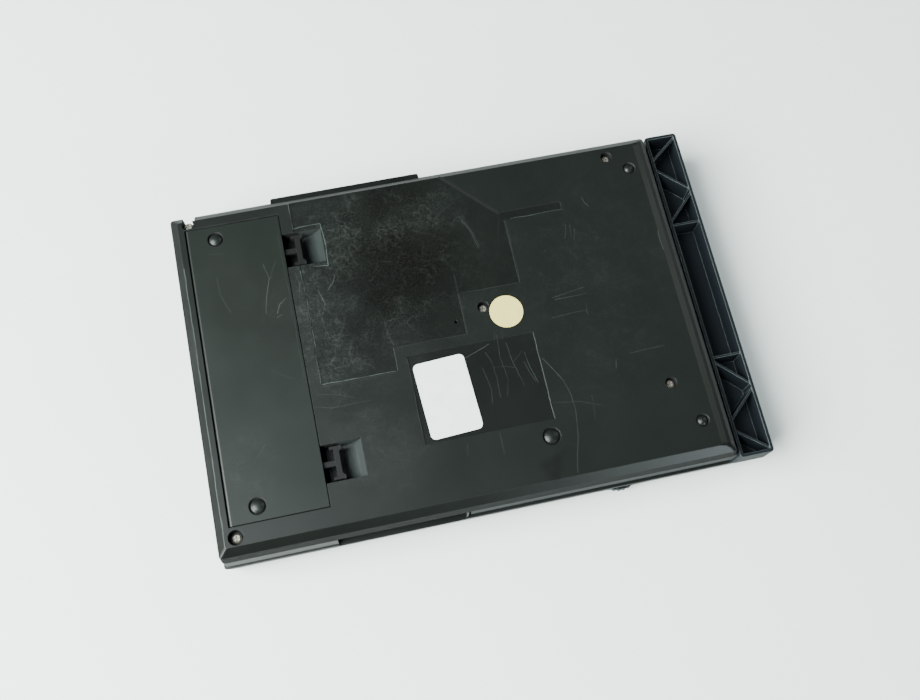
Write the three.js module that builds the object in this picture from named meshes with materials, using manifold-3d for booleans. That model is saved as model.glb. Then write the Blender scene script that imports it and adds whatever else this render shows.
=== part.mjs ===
// Portable cassette recorder for mains and batteries, lying on its face with the underside up.
// Millimetres. X runs from the battery end to the carrying handle, Y across.
// Z runs from the face, at 0, to the underside.
// The plan is drawn from the left foot of the case; the finished group is centred under its own box.
import * as THREE from "three";
import { mergeVertices } from "three/addons/utils/BufferGeometryUtils.js";
import Module from "manifold-3d";

const wasm = await Module();
wasm.setup();

// Driving sizes of the case
const HEIGHT = 42;
const WALL = 2.5;
const CASE_LEFT = 0.3;
const CASE_HALF = 90.25;
const CHAMFER = 4;
const CASE_END = 262;
const PLANE_END = CASE_END - 9.4;
const END_DROP = 9.7;
const CORNER = 1.5;
const SEAM_Z = HEIGHT - 14;
const SEAM_GAP = 1;
const SIDE_FLARE = 0.65;
const LEDGE_Z = 15.5;
const LEDGE_OUT = 1.1;
const PLINTH_END = CASE_END + 19;
const SIDE_STEP = 2.75;
const FACE_ROUND = 2.8;
const FACE_ROUND_DROP = 3;
const CLEAR = 0.3;

// Battery compartment and its door
const DOOR = { x0: CASE_LEFT + 7.05, x1: 56.9, y0: 13.4 - CASE_HALF, y1: CASE_HALF - 9.05 };
const DOOR_GAP = 0.45;
const DOOR_THICK = 2.2;
const DOOR_LEDGE = 1.6;
const BAY = {
  x0: DOOR.x0 - 1.85,
  x1: DOOR.x1 + 1.8,
  y0: DOOR.y0 + 0.65,
  y1: DOOR.y1 - 2,
  floor: HEIGHT - 27.4,
};
const BAY_WALL = 1.5;
const HINGE_X = DOOR.x0 + 1.85;
const HINGE_Z = HEIGHT - 1.4;
const HINGE_PIN_R = 0.7;
const HINGE_PIN_LONG = 1.2;
const NOTCH_MID = (DOOR.y0 + DOOR.y1) / 2;
const NOTCH_SPREAD = (DOOR.y1 - DOOR.y0) / 2 - 21.175;
const NOTCH_HALF = 9.55;
const NOTCH_END = DOOR.x1 + 20.3;
const NOTCH_DEEP = 9.2;
const NOTCHES = [NOTCH_MID + NOTCH_SPREAD, NOTCH_MID - NOTCH_SPREAD];

// Cassette well, which the deck and the case round it take their places from
const WELL = { x0: CASE_END - 104.5, x1: CASE_END - 36.3, half: 52.4 };

// Case screws: centre and radius of the sink, with their bosses
const SCREW_SINK_R = 3.05;
const WIDE_SINK_R = 3.75;
const SCREWS = [
  [CASE_LEFT + 9.7, 8.25 - CASE_HALF, WIDE_SINK_R],
  [CASE_LEFT + 9.1, CASE_HALF - 5.55, SCREW_SINK_R],
  [CASE_END - 25.6, CASE_HALF - 9.35, SCREW_SINK_R],
  [CASE_END - 25.6, 2.6 - WELL.half, SCREW_SINK_R],
  [WELL.x0 - 5.9, 9.2, SCREW_SINK_R],
];
const SCREW_SINK_DEEP = 5.2;
const SCREW_HEAD_R = 2.7;
const SCREW_HEAD_TALL = 1.9;
const SCREW_R = 1.15;
const SCREW_LONG = 14;
const SCREW_TUBE_WALL = 1.45;
const SCREW_SLOT = { x0: SCREWS[1][0] - 2.4, x1: SCREWS[1][0] + 3.9, y: CASE_HALF - CHAMFER + 0.05 };
const SCREW_BOSS_R = 3.3;

// Moulded feet: centre, radius of the moat, radius of the dome
const FEET = [
  [WELL.x0 + 12.6, 25.75 - CASE_HALF, 4.9, 4],
  [CASE_END - 15, CASE_HALF - 18.15, 3.7, 2.7],
  [CASE_END - 15.3, 18.25 - CASE_HALF, 3.7, 2.7],
];
const DOOR_FEET = [
  [22.5, DOOR.y1 - 7.7, 4.3, 3.5],
  [22.5, DOOR.y0 + 7.65, 4.6, 3.7],
];
const FOOT_RISE = 0.7;
const MOAT_DEEP = 1.3;
const FOOT_SIDES = 18;

// Shallow recesses of the underside
const RECESS_DEEP = 0.4;
const LABEL = { x: 123.6, y: -34, long: 40.2, wide: 26.6, round: 2.6, turn: 3, thick: 0.3 };
const STICKER = { x: 162.7, y: 4.3, r: 8.75, thick: 0.25 };

// Carrying handle: a ribbed channel across the end, on two arms that slide in grooves of the sides
const HANDLE = {
  x0: CASE_END + 1.5,
  x1: PLINTH_END + 0.4,
  half: CASE_HALF + SIDE_STEP,
  z0: LEDGE_Z + 0.7,
  z1: HEIGHT - END_DROP,
};
const HANDLE_RAIL = 1.6;
const HANDLE_FLOOR = 2.5;
const HANDLE_RIB = 1.2;
const HANDLE_RIB_SUNK = 0.8;
const HANDLE_TRAVEL = 45;
const GRIP_HALF = HANDLE.half - 54.3;
const ARM = {
  set: 2.5,
  y0: CASE_HALF - 1.95,
  y1: CASE_HALF + 0.15,
  z0: LEDGE_Z + 0.4,
  z1: SEAM_Z - SEAM_GAP - 0.4,
};
const GROOVE_FLOOR = CASE_HALF - 2.45;
const GROOVE_BACK = CASE_HALF - 4.65;
const LUG_LONG = 5;
const LUG_HALF = 1.6;
const LUG_MID_Z = LEDGE_Z + 6;
const JACK_BAY = { x0: DOOR.x1 - 0.4, x1: DOOR.x1 + 65.1, floor: CASE_HALF - 4.75 };
const SIDE_BOSS = { x0: DOOR.x1 - 3.3, x1: DOOR.x1 + 77.2, out: CASE_HALF + SIDE_STEP };
const GROOVE_START = { near: JACK_BAY.x1, far: SIDE_BOSS.x1 };
const armStart = (side) => (side < 0 ? GROOVE_START.near : GROOVE_START.far) + ARM.set;

// Works of the recorder
const LID = { x0: WELL.x0 + 0.7, x1: WELL.x1 - 0.5, half: WELL.half - 0.2, z0: 0.4, thick: 2.5 };
const LID_AXIS_X = LID.x0 + LID.thick / 2;
const LID_AXIS_Z = LID.z0 + LID.thick / 2;
const PANE = { x0: WELL.x0 + 14, x1: WELL.x1 - 13, half: 34, thick: 1.4, lip: 1.4 };
const LID_PIN_R = 0.7;
const LID_PIN_LONG = 1.6;
const DECK_Z = 18;
const DECK_THICK = 1.2;
const CAPSTAN = { x: WELL.x1 - 12.7, y: 28, r: 1.2 };
const FLYWHEEL_R = 27;
const FLYWHEEL_Z = [HEIGHT - 13, HEIGHT - 7];
const MOTOR_OUT = CASE_HALF - 6.15;
const MOTOR_R = (CASE_HALF - 59.25) / 2;
const MOTOR = { x: CAPSTAN.x + 9 - FLYWHEEL_R, y: MOTOR_OUT - MOTOR_R, r: MOTOR_R, z0: 6, z1: HEIGHT - 12 };
const PULLEY_R = 4.6;
const BELT_Z = HEIGHT - 10;
const BELT_HALF = 0.7;
const BELT_THICK = 1;
const GROOVE_DEEP = 1;
const REEL_X = WELL.x1 - 32.2;
const REEL_HALF = 21.25;
const HUB_GEAR_R = 5;
const REEL_GEAR_R = 8;
const GEAR_Z = [20, 22];
const KEY_SHAFT = { x: CASE_END - 18, z: 11, r: 1.5 };
const KEY_CAP = { x0: CASE_END - 12, x1: CASE_END + 6.5 };
const KEY_PITCH = (CASE_HALF - 9.25) / 3;
const KEY_WIDE = KEY_PITCH - 1.8;
const KEY_NAMES = ["record", "rewind", "fast_forward", "play", "stop_eject", "pause"];
const HEAD_TRAVEL = 7.5;
const VOLUME = { x: WELL.x1 - 20.3, r: 13.4, z0: 5.6, z1: 9.6, out: CASE_HALF + SIDE_STEP };
const SPEAKER_R = (WELL.x0 - BAY.x1 - 22.8) / 2;
const SPEAKER = { x: BAY.x1 + 4.3 + SPEAKER_R, y: 30, r: SPEAKER_R };
const BOARD_THICK = 1.6;
// Field in which the soldered parts are laid out, scaled to the board
const BOARD_FIELD = { long: 103, wide: 24.5 };
// Spacing of the speaker slots, as a share of the speaker's radius
const SPEAKER_SLOT_SHARE = 6.4 / 38;
const COUNTER = {
  x0: WELL.x0 - 5.5,
  x1: WELL.x0 + 12.5,
  y0: -CASE_HALF / 2 - 32.875,
  y1: 10.45 - CASE_HALF / 5 - WELL.half,
  z0: WALL + CLEAR,
  z1: 14,
};
const RESET = { x: COUNTER.x1 + 6, y: (COUNTER.y0 + COUNTER.y1) / 2, half: 3, z0: 0.5, z1: 7 };
const MICROPHONE = { x: WELL.x0 - 11.5, y: CASE_HALF - 24.25, r: 4.8 };
const TRANSFORMER = {
  x0: JACK_BAY.x0 + 25.5,
  x1: JACK_BAY.x0 + 61.5,
  y0: 24.25 - CASE_HALF,
  y1: 56.25 - CASE_HALF,
  z0: WALL + CLEAR,
  z1: HEIGHT - 7,
};
const BOARD = {
  x0: TRANSFORMER.x1 + 8,
  x1: WELL.x1 + 3.3,
  y0: 6.25 - CASE_HALF,
  y1: -WELL.half - 7.1,
  z: 16,
};
const SOCKET_Z = SEAM_Z - 7;
const SOCKET_HALF = 4;
const SOCKETS = [
  ["remote_socket", JACK_BAY.x0 + 8.5, 1.25],
  ["microphone_socket", JACK_BAY.x0 + 20.5, 1.75],
  ["earphone_socket", JACK_BAY.x0 + 32.5, 1.75],
];
const INLET = { x: JACK_BAY.x0 + 51.5, half: 10.4, tall: 8.4 };

// Materials
const finish = (color, roughness, metalness = 0) =>
  new THREE.MeshStandardMaterial({ color, roughness, metalness });
const CASE_PLASTIC = finish("#2c3433", 0.5);
const HANDLE_PLASTIC = finish("#1b2129", 0.45);
const KEY_PLASTIC = finish("#3a3f42", 0.4);
const CLEAR_PLASTIC = finish("#5b6466", 0.1);
const WHITE_FILM = finish("#dfe3e1", 0.6);
const CREAM_PAPER = finish("#d9d6ad", 0.7);
const ZINCED_STEEL = finish("#a5a49c", 0.35, 1);
const SPRING_STEEL = finish("#b4b6b8", 0.3, 1);
const BRASS = finish("#b08d4a", 0.35, 1);
const BLACK_RUBBER = finish("#161616", 0.85);
const BLACK_PAPER = finish("#1f1e1d", 0.9);
const BOARD_LAMINATE = finish("#6a5a30", 0.6);
const WHITE_NYLON = finish("#cfcfc6", 0.5);
const COPPER_WOUND = finish("#8a4b2a", 0.45, 0.6);

// Solids
function solid(geometry) {
  const bare = geometry.clone();
  bare.deleteAttribute("normal");
  bare.deleteAttribute("uv");
  const merged = mergeVertices(bare, 1e-4);
  return new wasm.Manifold(
    new wasm.Mesh({
      numProp: 3,
      vertProperties: merged.attributes.position.array,
      triVerts: new Uint32Array(merged.index.array),
    }),
  );
}

const join = (...solids) => solids.reduce((a, b) => a.add(b));
const cut = (base, ...tools) => tools.reduce((a, b) => a.subtract(b), base);

// The corners are set to the very numbers given, so that faces meant to line up do.
function block(x0, x1, y0, y1, z0, z1) {
  const box = new THREE.BoxGeometry(1, 1, 1);
  const corners = box.getAttribute("position");
  for (let i = 0; i < corners.count; i++)
    corners.setXYZ(
      i,
      corners.getX(i) < 0 ? x0 : x1,
      corners.getY(i) < 0 ? y0 : y1,
      corners.getZ(i) < 0 ? z0 : z1,
    );
  return solid(box);
}

function centredBlock(x, y, long, wide, z0, z1) {
  return block(x - long / 2, x + long / 2, y - wide / 2, y + wide / 2, z0, z1);
}

function outline(points) {
  return new THREE.Shape(points.map(([x, y]) => new THREE.Vector2(x, y)));
}

function prism(shape, z0, z1, curveSegments = 6) {
  const settings = { depth: z1 - z0, bevelEnabled: false, curveSegments };
  return solid(new THREE.ExtrudeGeometry(shape, settings).translate(0, 0, z0));
}

// A side view in X and Z, carried across Y.
function across(shape, y0, y1, curveSegments = 6) {
  const settings = { depth: y1 - y0, bevelEnabled: false, curveSegments };
  return solid(new THREE.ExtrudeGeometry(shape, settings).rotateX(Math.PI / 2).translate(0, y1, 0));
}

function disc(x, y, r, z0, z1, sides = 24) {
  const geometry = new THREE.CylinderGeometry(r, r, z1 - z0, sides);
  return solid(geometry.rotateX(Math.PI / 2).translate(x, y, (z0 + z1) / 2));
}

function rodAcross(x, z, r, y0, y1, sides = 16) {
  const geometry = new THREE.CylinderGeometry(r, r, y1 - y0, sides);
  return solid(geometry.translate(x, (y0 + y1) / 2, z));
}

// A turned piece: its profile lists radius and height and closes on itself or on the axis.
function turned(x, y, profile, sides = 24) {
  const twiceArea = profile.reduce((sum, [r, z], i) => {
    const [rn, zn] = profile[(i + 1) % profile.length];
    return sum + r * zn - rn * z;
  }, 0);
  const ordered = twiceArea > 0 ? profile : [...profile].reverse();
  const onAxis = ordered.some(([r]) => r === 0);
  const start = onAxis ? ordered.findIndex(([r], i) => r === 0 && ordered.at(i - 1)[0] === 0) : 0;
  const round = [...ordered.slice(start), ...ordered.slice(0, start)];
  const points = (onAxis ? round : [...round, round[0]]).map(([r, z]) => new THREE.Vector2(r, z));
  return solid(new THREE.LatheGeometry(points, sides).rotateX(Math.PI / 2).translate(x, y, 0));
}

function roundedRing({ x0, x1, y0, y1 }, round, z, steps = 3) {
  const ring = [];
  const corners = [
    [x1 - round, y1 - round, 0],
    [x0 + round, y1 - round, 1],
    [x0 + round, y0 + round, 2],
    [x1 - round, y0 + round, 3],
  ];
  for (const [cx, cy, quarter] of corners)
    for (let i = 0; i <= steps; i++) {
      const a = ((quarter + i / steps) * Math.PI) / 2;
      ring.push([cx + round * Math.cos(a), cy + round * Math.sin(a), z]);
    }
  return ring;
}

// Skins a stack of rings, lowest first, and closes both ends.
function loft(rings) {
  const count = rings[0].length;
  const positions = rings.flat(2);
  const index = [];
  for (let k = 0; k + 1 < rings.length; k++)
    for (let i = 0; i < count; i++) {
      const a = k * count + i;
      const b = k * count + ((i + 1) % count);
      index.push(a, b, b + count, a, b + count, a + count);
    }
  const top = (rings.length - 1) * count;
  for (let i = 1; i + 1 < count; i++) {
    index.push(0, i + 1, i);
    index.push(top, top + i, top + i + 1);
  }
  const geometry = new THREE.BufferGeometry();
  geometry.setAttribute("position", new THREE.Float32BufferAttribute(positions, 3));
  geometry.setIndex(index);
  return solid(geometry);
}

function roundedOutline(x0, x1, y0, y1, round) {
  const shape = new THREE.Shape();
  shape.moveTo(x0 + round, y0);
  shape.lineTo(x1 - round, y0);
  shape.absarc(x1 - round, y0 + round, round, -Math.PI / 2, 0);
  shape.lineTo(x1, y1 - round);
  shape.absarc(x1 - round, y1 - round, round, 0, Math.PI / 2);
  shape.lineTo(x0 + round, y1);
  shape.absarc(x0 + round, y1 - round, round, Math.PI / 2, Math.PI);
  shape.lineTo(x0, y0 + round);
  shape.absarc(x0 + round, y0 + round, round, Math.PI, Math.PI * 1.5);
  return shape;
}

// Pieces
const recorder = new THREE.Group();

function piece(name, made, material) {
  const { vertProperties, triVerts, numProp } = made.getMesh();
  const positions = new Float32Array((vertProperties.length / numProp) * 3);
  for (let i = 0; i < positions.length / 3; i++)
    for (let axis = 0; axis < 3; axis++) positions[3 * i + axis] = vertProperties[numProp * i + axis];
  const geometry = new THREE.BufferGeometry();
  geometry.setAttribute("position", new THREE.BufferAttribute(positions, 3));
  geometry.setIndex(new THREE.BufferAttribute(new Uint32Array(triVerts), 1));
  geometry.computeVertexNormals();
  const mesh = new THREE.Mesh(geometry, material);
  mesh.name = name;
  recorder.add(mesh);
}

// Outline of the case
const CHAMFER_FOOT = HEIGHT - CHAMFER;
const PLATE_UNDER = HEIGHT - WALL;

// Plan of the underside shell at a height, drawn in by an inset.
function lowerPlan(z, inset = 0) {
  const flare = (SIDE_FLARE * Math.max(0, CHAMFER_FOOT - z)) / (CHAMFER_FOOT - SEAM_Z);
  const bevel = Math.max(0, z - CHAMFER_FOOT);
  const climb = Math.min(1, Math.max(0, (z - (HEIGHT - END_DROP)) / END_DROP));
  const end = PLANE_END + (CASE_END - PLANE_END) * Math.sqrt(1 - climb * climb);
  const half = CASE_HALF + flare - bevel - inset;
  return { x0: CASE_LEFT - flare + bevel + inset, x1: end - inset, y0: -half, y1: half };
}

function lowerSolid(levels, inset) {
  return loft(levels.map((z) => roundedRing(lowerPlan(z, inset), CORNER, z)));
}

function upperPlan(grow, end, inset = 0) {
  const half = CASE_HALF + SIDE_FLARE + grow - inset;
  return { x0: CASE_LEFT - SIDE_FLARE - grow + inset, x1: end - inset, y0: -half, y1: half };
}

// Post or hole for a case screw
const screwSeat = HEIGHT - SCREW_SINK_DEEP;
const screwTubeFoot = SEAM_Z - 1;
const screwBossTop = screwTubeFoot - CLEAR;

// A moulded foot is a dome in a round moat.
function footMoat([x, y, moat]) {
  const low = HEIGHT - MOAT_DEEP;
  const profile = [[0, low], [moat - 0.5, low], [moat, HEIGHT + 1], [0, HEIGHT + 1]];
  return turned(x, y, profile, FOOT_SIDES);
}

function footDome([x, y, , dome]) {
  const rise = [0, 0.3, 0.6, 0.8, 1].map((t) => [
    dome * Math.cos((t * Math.PI) / 2),
    HEIGHT - MOAT_DEEP + (FOOT_RISE + MOAT_DEEP) * Math.sin((t * Math.PI) / 2),
  ]);
  rise[rise.length - 1][0] = 0;
  const root = HEIGHT - MOAT_DEEP - 0.4;
  return turned(x, y, [[0, root], [dome, root], ...rise], FOOT_SIDES);
}

// Pocket beside the door where a finger reaches the latch
function notchHousing(y) {
  const floor = HEIGHT - NOTCH_DEEP;
  const half = NOTCH_HALF + BAY_WALL;
  return block(BAY.x1, NOTCH_END + BAY_WALL, y - half, y + half, floor - BAY_WALL, PLATE_UNDER + 0.5);
}

function notchHollow(y) {
  const floor = HEIGHT - NOTCH_DEEP;
  const scoopStart = DOOR.x1 + 9.4;
  const shape = new THREE.Shape();
  shape.moveTo(DOOR.x1 - 2, floor);
  shape.lineTo(scoopStart, floor);
  shape.quadraticCurveTo(NOTCH_END - 5, floor + 0.8, NOTCH_END - 0.4, HEIGHT - 1.2);
  shape.lineTo(NOTCH_END, HEIGHT + 1);
  shape.lineTo(DOOR.x1 - 2, HEIGHT + 1);
  return across(shape, y - NOTCH_HALF, y + NOTCH_HALF, 8);
}

// Worn stepped panel, and the plate for the label
const PANEL = [
  [63, CASE_HALF + 4.75],
  [63, -15.8],
  [101.8, -15.8],
  [101.8, -3.2],
  [140.2, -3.2],
  [140.2, 18.5],
  [173.2, 18.5],
  [173.2, 55.3],
  [205, 55.3],
  [205, 60],
  [170.6, 60],
  [145, 86],
  [145, CASE_HALF + 4.75],
];
const LABEL_PLACE = { x0: 107.8, x1: 173.6, y0: -56, y1: -9.4 };

function batteryBay() {
  const { x0, x1, y0, y1, floor } = BAY;
  const outer = block(
    x0 - BAY_WALL,
    x1 + BAY_WALL,
    y0 - BAY_WALL,
    y1 + BAY_WALL,
    floor - BAY_WALL,
    PLATE_UNDER + 0.5,
  );
  const socketLow = HINGE_Z - 4.4;
  const bearings = [DOOR.y0, DOOR.y1].map((y) =>
    block(HINGE_X - 3, HINGE_X + 4, y - 4, y + 4, socketLow, PLATE_UNDER + 0.5),
  );
  return join(outer, ...bearings);
}

function doorOpening() {
  const seat = HEIGHT - DOOR_THICK - 0.2;
  const through = block(
    DOOR.x0,
    DOOR.x1 - DOOR_LEDGE,
    DOOR.y0 + DOOR_LEDGE,
    DOOR.y1 - DOOR_LEDGE,
    BAY.floor + 4,
    HEIGHT + 1,
  );
  const rebate = block(DOOR.x0, DOOR.x1, DOOR.y0, DOOR.y1, seat, HEIGHT + 1);
  const swing = [
    [DOOR.y0, DOOR.y0 + 6],
    [DOOR.y1 - 6, DOOR.y1],
  ].map(([a, b]) => block(DOOR.x0, HINGE_X + 2.4, a, b, HINGE_Z - 2.6, HEIGHT + 1));
  return join(through, rebate, ...swing);
}

function lowerCase() {
  const rounds = [END_DROP, 6.4, CHAMFER, 1.8, 0.6, 0];
  const levels = [SEAM_Z, ...rounds.map((drop) => HEIGHT - drop)];
  const outer = lowerSolid(levels, 0);
  const inner = lowerSolid([SEAM_Z - 1, HEIGHT - END_DROP, HEIGHT - 6, PLATE_UNDER], WALL);
  const { x0, x1, y0, y1, floor } = BAY;
  const bayHollow = block(x0, x1, y0, y1, floor, PLATE_UNDER);
  const tubes = SCREWS.map(([x, y, r]) =>
    disc(x, y, r + SCREW_TUBE_WALL, screwTubeFoot, PLATE_UNDER + 0.5, 12),
  );
  const boss = roundedOutline(SIDE_BOSS.x0, SIDE_BOSS.x1, CASE_HALF - WALL, SIDE_BOSS.out, 1.2);
  const shell = join(
    cut(outer, inner),
    batteryBay(),
    ...tubes,
    ...NOTCHES.map(notchHousing),
    prism(boss, SEAM_Z, CHAMFER_FOOT, 2),
  );
  const sinks = SCREWS.map(([x, y, r]) => disc(x, y, r, screwSeat, HEIGHT + 1, 18));
  const holes = SCREWS.map(([x, y]) => disc(x, y, SCREW_R + 0.4, screwTubeFoot - 1, screwSeat + 1, 8));
  const pinReach = HINGE_PIN_LONG + CLEAR - DOOR_GAP;
  const pins = [
    [DOOR.y0 - pinReach, DOOR.y0 + 1],
    [DOOR.y1 - 1, DOOR.y1 + pinReach],
  ].map(([a, b]) => rodAcross(HINGE_X, HINGE_Z, HINGE_PIN_R + 0.25, a, b, 12));
  const label = LABEL_PLACE;
  const body = cut(
    shell,
    bayHollow,
    doorOpening(),
    ...NOTCHES.map(notchHollow),
    ...sinks,
    ...holes,
    ...pins,
    block(SCREW_SLOT.x0, SCREW_SLOT.x1, SCREW_SLOT.y, CASE_HALF + 1, SEAM_Z - 1, HEIGHT + 1),
    prism(outline(PANEL), HEIGHT - RECESS_DEEP, HEIGHT + 1),
    block(label.x0, label.x1, label.y0, label.y1, HEIGHT - RECESS_DEEP, HEIGHT + 1),
    disc(136.1, 4.1, 0.9, PLATE_UNDER - 1, HEIGHT + 1, 10),
    ...FEET.map(footMoat),
  );
  return join(body, ...FEET.map(footDome));
}
piece("lower_case", lowerCase(), CASE_PLASTIC);

const DECK = { x0: WELL.x0 - 1.5, x1: WELL.x1 + 14.3, y0: -WELL.half - 5.6, y1: CASE_HALF - 5.85 };
const DECK_POSTS = [
  [DECK.x0 + 5, DECK.y0 + 2.5],
  [DECK.x1 - 11, DECK.y0 + 2.5],
  [DECK.x0 + 5, WELL.half + 7.6],
  [DECK.x1 - 17, WELL.half + 9.6],
];
const keyMiddle = (k) => (k - (KEY_NAMES.length - 1) / 2) * KEY_PITCH;

// Upright bearings for the key shaft, one between each two keys and one at each end
function keyBearings() {
  return Array.from({ length: KEY_NAMES.length + 1 }, (_, k) => {
    const y = keyMiddle(k - 0.5);
    const post = block(KEY_SHAFT.x - 2.4, KEY_SHAFT.x + 2.4, y - 0.8, y + 0.8, WALL - 0.5, KEY_SHAFT.z + 2.6);
    return cut(post, rodAcross(KEY_SHAFT.x, KEY_SHAFT.z, KEY_SHAFT.r + 0.25, y - 1, y + 1, 8));
  });
}

// Face shell: a plinth with a ledge, and the upper wall that carries the arm grooves and the jack bay
function upperCase() {
  const plinth = loft([
    roundedRing(upperPlan(-FACE_ROUND + LEDGE_OUT, PLINTH_END, 0), CORNER, 0),
    roundedRing(upperPlan(-0.2, PLINTH_END), CORNER, FACE_ROUND_DROP),
    roundedRing(upperPlan(LEDGE_OUT, PLINTH_END), CORNER, LEDGE_Z - 1),
    roundedRing(upperPlan(LEDGE_OUT - 0.2, PLINTH_END), CORNER, LEDGE_Z),
  ]);
  const wallTop = SEAM_Z - SEAM_GAP;
  const wall = loft([
    roundedRing(upperPlan(0.2, CASE_END), CORNER, LEDGE_Z - 2),
    roundedRing(upperPlan(0, CASE_END), CORNER, wallTop),
  ]);
  const inner = loft([
    roundedRing(upperPlan(-0.2, CASE_END, WALL), CORNER, WALL),
    roundedRing(upperPlan(0, CASE_END, WALL), CORNER, wallTop + 1),
  ]);
  const underHalf = CASE_HALF - 3.25;
  const underHandle = block(CASE_END - 10, PLINTH_END - WALL, -underHalf, underHalf, WALL, LEDGE_Z - WALL);
  const innerHalf = CASE_HALF - 1.6;
  const backLow = LEDGE_Z - WALL - 1;
  const backTop = wallTop - 0.5;
  const backs = [
    block(JACK_BAY.x0 - WALL, JACK_BAY.x1 + WALL, -innerHalf, -JACK_BAY.floor + WALL, 0.5, wallTop),
    block(JACK_BAY.x1, CASE_END - 1, -innerHalf, -GROOVE_BACK, backLow, backTop),
    block(GROOVE_START.far - WALL, CASE_END - 1, GROOVE_BACK, innerHalf, backLow, backTop),
  ];
  const sideBoss = roundedOutline(SIDE_BOSS.x0, SIDE_BOSS.x1, CASE_HALF - WALL, SIDE_BOSS.out, 1.2);
  const bosses = SCREWS.map(([x, y]) => disc(x, y, SCREW_BOSS_R, WALL - 0.5, screwBossTop, 10));
  const boardPosts = [
    [BOARD.x0 + 3.5, BOARD.y0 + 3.5],
    [BOARD.x1 - 3.5, BOARD.y0 + 3.5],
    [BOARD.x0 + 3.5, BOARD.y1 - 3.5],
  ].map(([x, y]) => disc(x, y, 2.4, WALL - 0.5, BOARD.z - 0.2, 8));
  const deckPosts = DECK_POSTS.map(([x, y]) => disc(x, y, 2.2, WALL - 0.5, DECK_Z - 0.2, 8));
  const body = join(
    cut(join(plinth, wall), inner, underHandle),
    ...backs,
    prism(sideBoss, LEDGE_Z - 1, wallTop, 2),
    ...bosses,
    ...boardPosts,
    ...deckPosts,
    ...keyBearings(),
  );
  return cut(body, ...upperCaseHollows(wallTop));
}

function socketHole(x, halfX, halfZ) {
  const front = -JACK_BAY.floor - 1;
  return block(x - halfX, x + halfX, front, front + 6.5, SOCKET_Z - halfZ, SOCKET_Z + halfZ);
}

function upperCaseHollows(wallTop) {
  const past = SIDE_BOSS.out + 3;
  const grooveLow = LEDGE_Z - 0.25;
  const wheelHalf = VOLUME.r - 0.4;
  const wheelLow = VOLUME.z0 - 0.5;
  const wheelHigh = VOLUME.z1 + 0.5;
  const bodyHole = SCREW_R + 0.15;
  return [
    block(JACK_BAY.x0, JACK_BAY.x1, -past, -JACK_BAY.floor, LEDGE_Z - 1.5, wallTop + 1),
    block(JACK_BAY.x1 + 1, CASE_END + 1, -past, -GROOVE_FLOOR, grooveLow, wallTop + 1),
    block(GROOVE_START.far, CASE_END + 1, GROOVE_FLOOR, past, grooveLow, wallTop + 1),
    ...[-1, 1].map((side) => {
      const edge = [side * (GROOVE_BACK - 1), side * (GROOVE_FLOOR + 1)].sort((a, b) => a - b);
      const start = armStart(side);
      const end = start + LUG_LONG + HANDLE_TRAVEL;
      const tall = LUG_HALF + CLEAR;
      return block(start - 0.4, end + 0.4, edge[0], edge[1], LUG_MID_Z - tall, LUG_MID_Z + tall);
    }),
    ...SCREWS.map(([x, y]) => disc(x, y, bodyHole, screwBossTop - SCREW_LONG + 4, screwBossTop + 1, 8)),
    block(VOLUME.x - wheelHalf, VOLUME.x + wheelHalf, -past, -CASE_HALF + 8, wheelLow, wheelHigh),
    ...faceOpenings(),
    ...SOCKETS.map(([, x]) => socketHole(x, SOCKET_HALF + CLEAR, SOCKET_HALF + CLEAR)),
    socketHole(INLET.x, INLET.half + CLEAR, INLET.tall / 2 + CLEAR),
  ];
}

// Openings of the face: cassette well, keys, speaker slots, counter, microphone
function faceOpenings() {
  const slots = [];
  const pitch = SPEAKER_SLOT_SHARE * SPEAKER.r;
  for (let k = -5; k <= 5; k++) {
    const x = SPEAKER.x + k * pitch;
    const half = Math.sqrt((SPEAKER.r - 4) ** 2 - (k * pitch) ** 2) - 1;
    const slot = roundedOutline(x - 1.4, x + 1.4, SPEAKER.y - half, SPEAKER.y + half, 1.39);
    slots.push(prism(slot, -1, WALL + 1, 2));
  }
  const holes = [-2.4, 0, 2.4].map((dy) =>
    centredBlock(MICROPHONE.x, MICROPHONE.y + dy, 6, 1.2, -1, WALL + 1),
  );
  const keyHalf = 3 * KEY_PITCH + 0.4;
  const resetHole = 2 * RESET.half + 1;
  const pinGap = LID_PIN_R + CLEAR;
  const pinReach = LID.half + LID_PIN_LONG + CLEAR;
  return [
    ...slots,
    ...holes,
    block(WELL.x0, WELL.x1, -WELL.half - 0.5, WELL.half + 0.5, -1, WALL + 1),
    block(LID_AXIS_X - pinGap, LID_AXIS_X + pinGap, -pinReach, pinReach, LID_AXIS_Z - pinGap, WALL + 1),
    block(KEY_CAP.x0 - 1, KEY_CAP.x1 + 2.6, -keyHalf, keyHalf, -1, WALL + 1),
    block(COUNTER.x0 + 4, COUNTER.x1 - 4, COUNTER.y0 + 3, COUNTER.y1 - 3, -1, WALL + 1),
    centredBlock(RESET.x, RESET.y, resetHole, resetHole, -1, WALL + 1),
  ];
}
piece("upper_case", upperCase(), CASE_PLASTIC);

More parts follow.
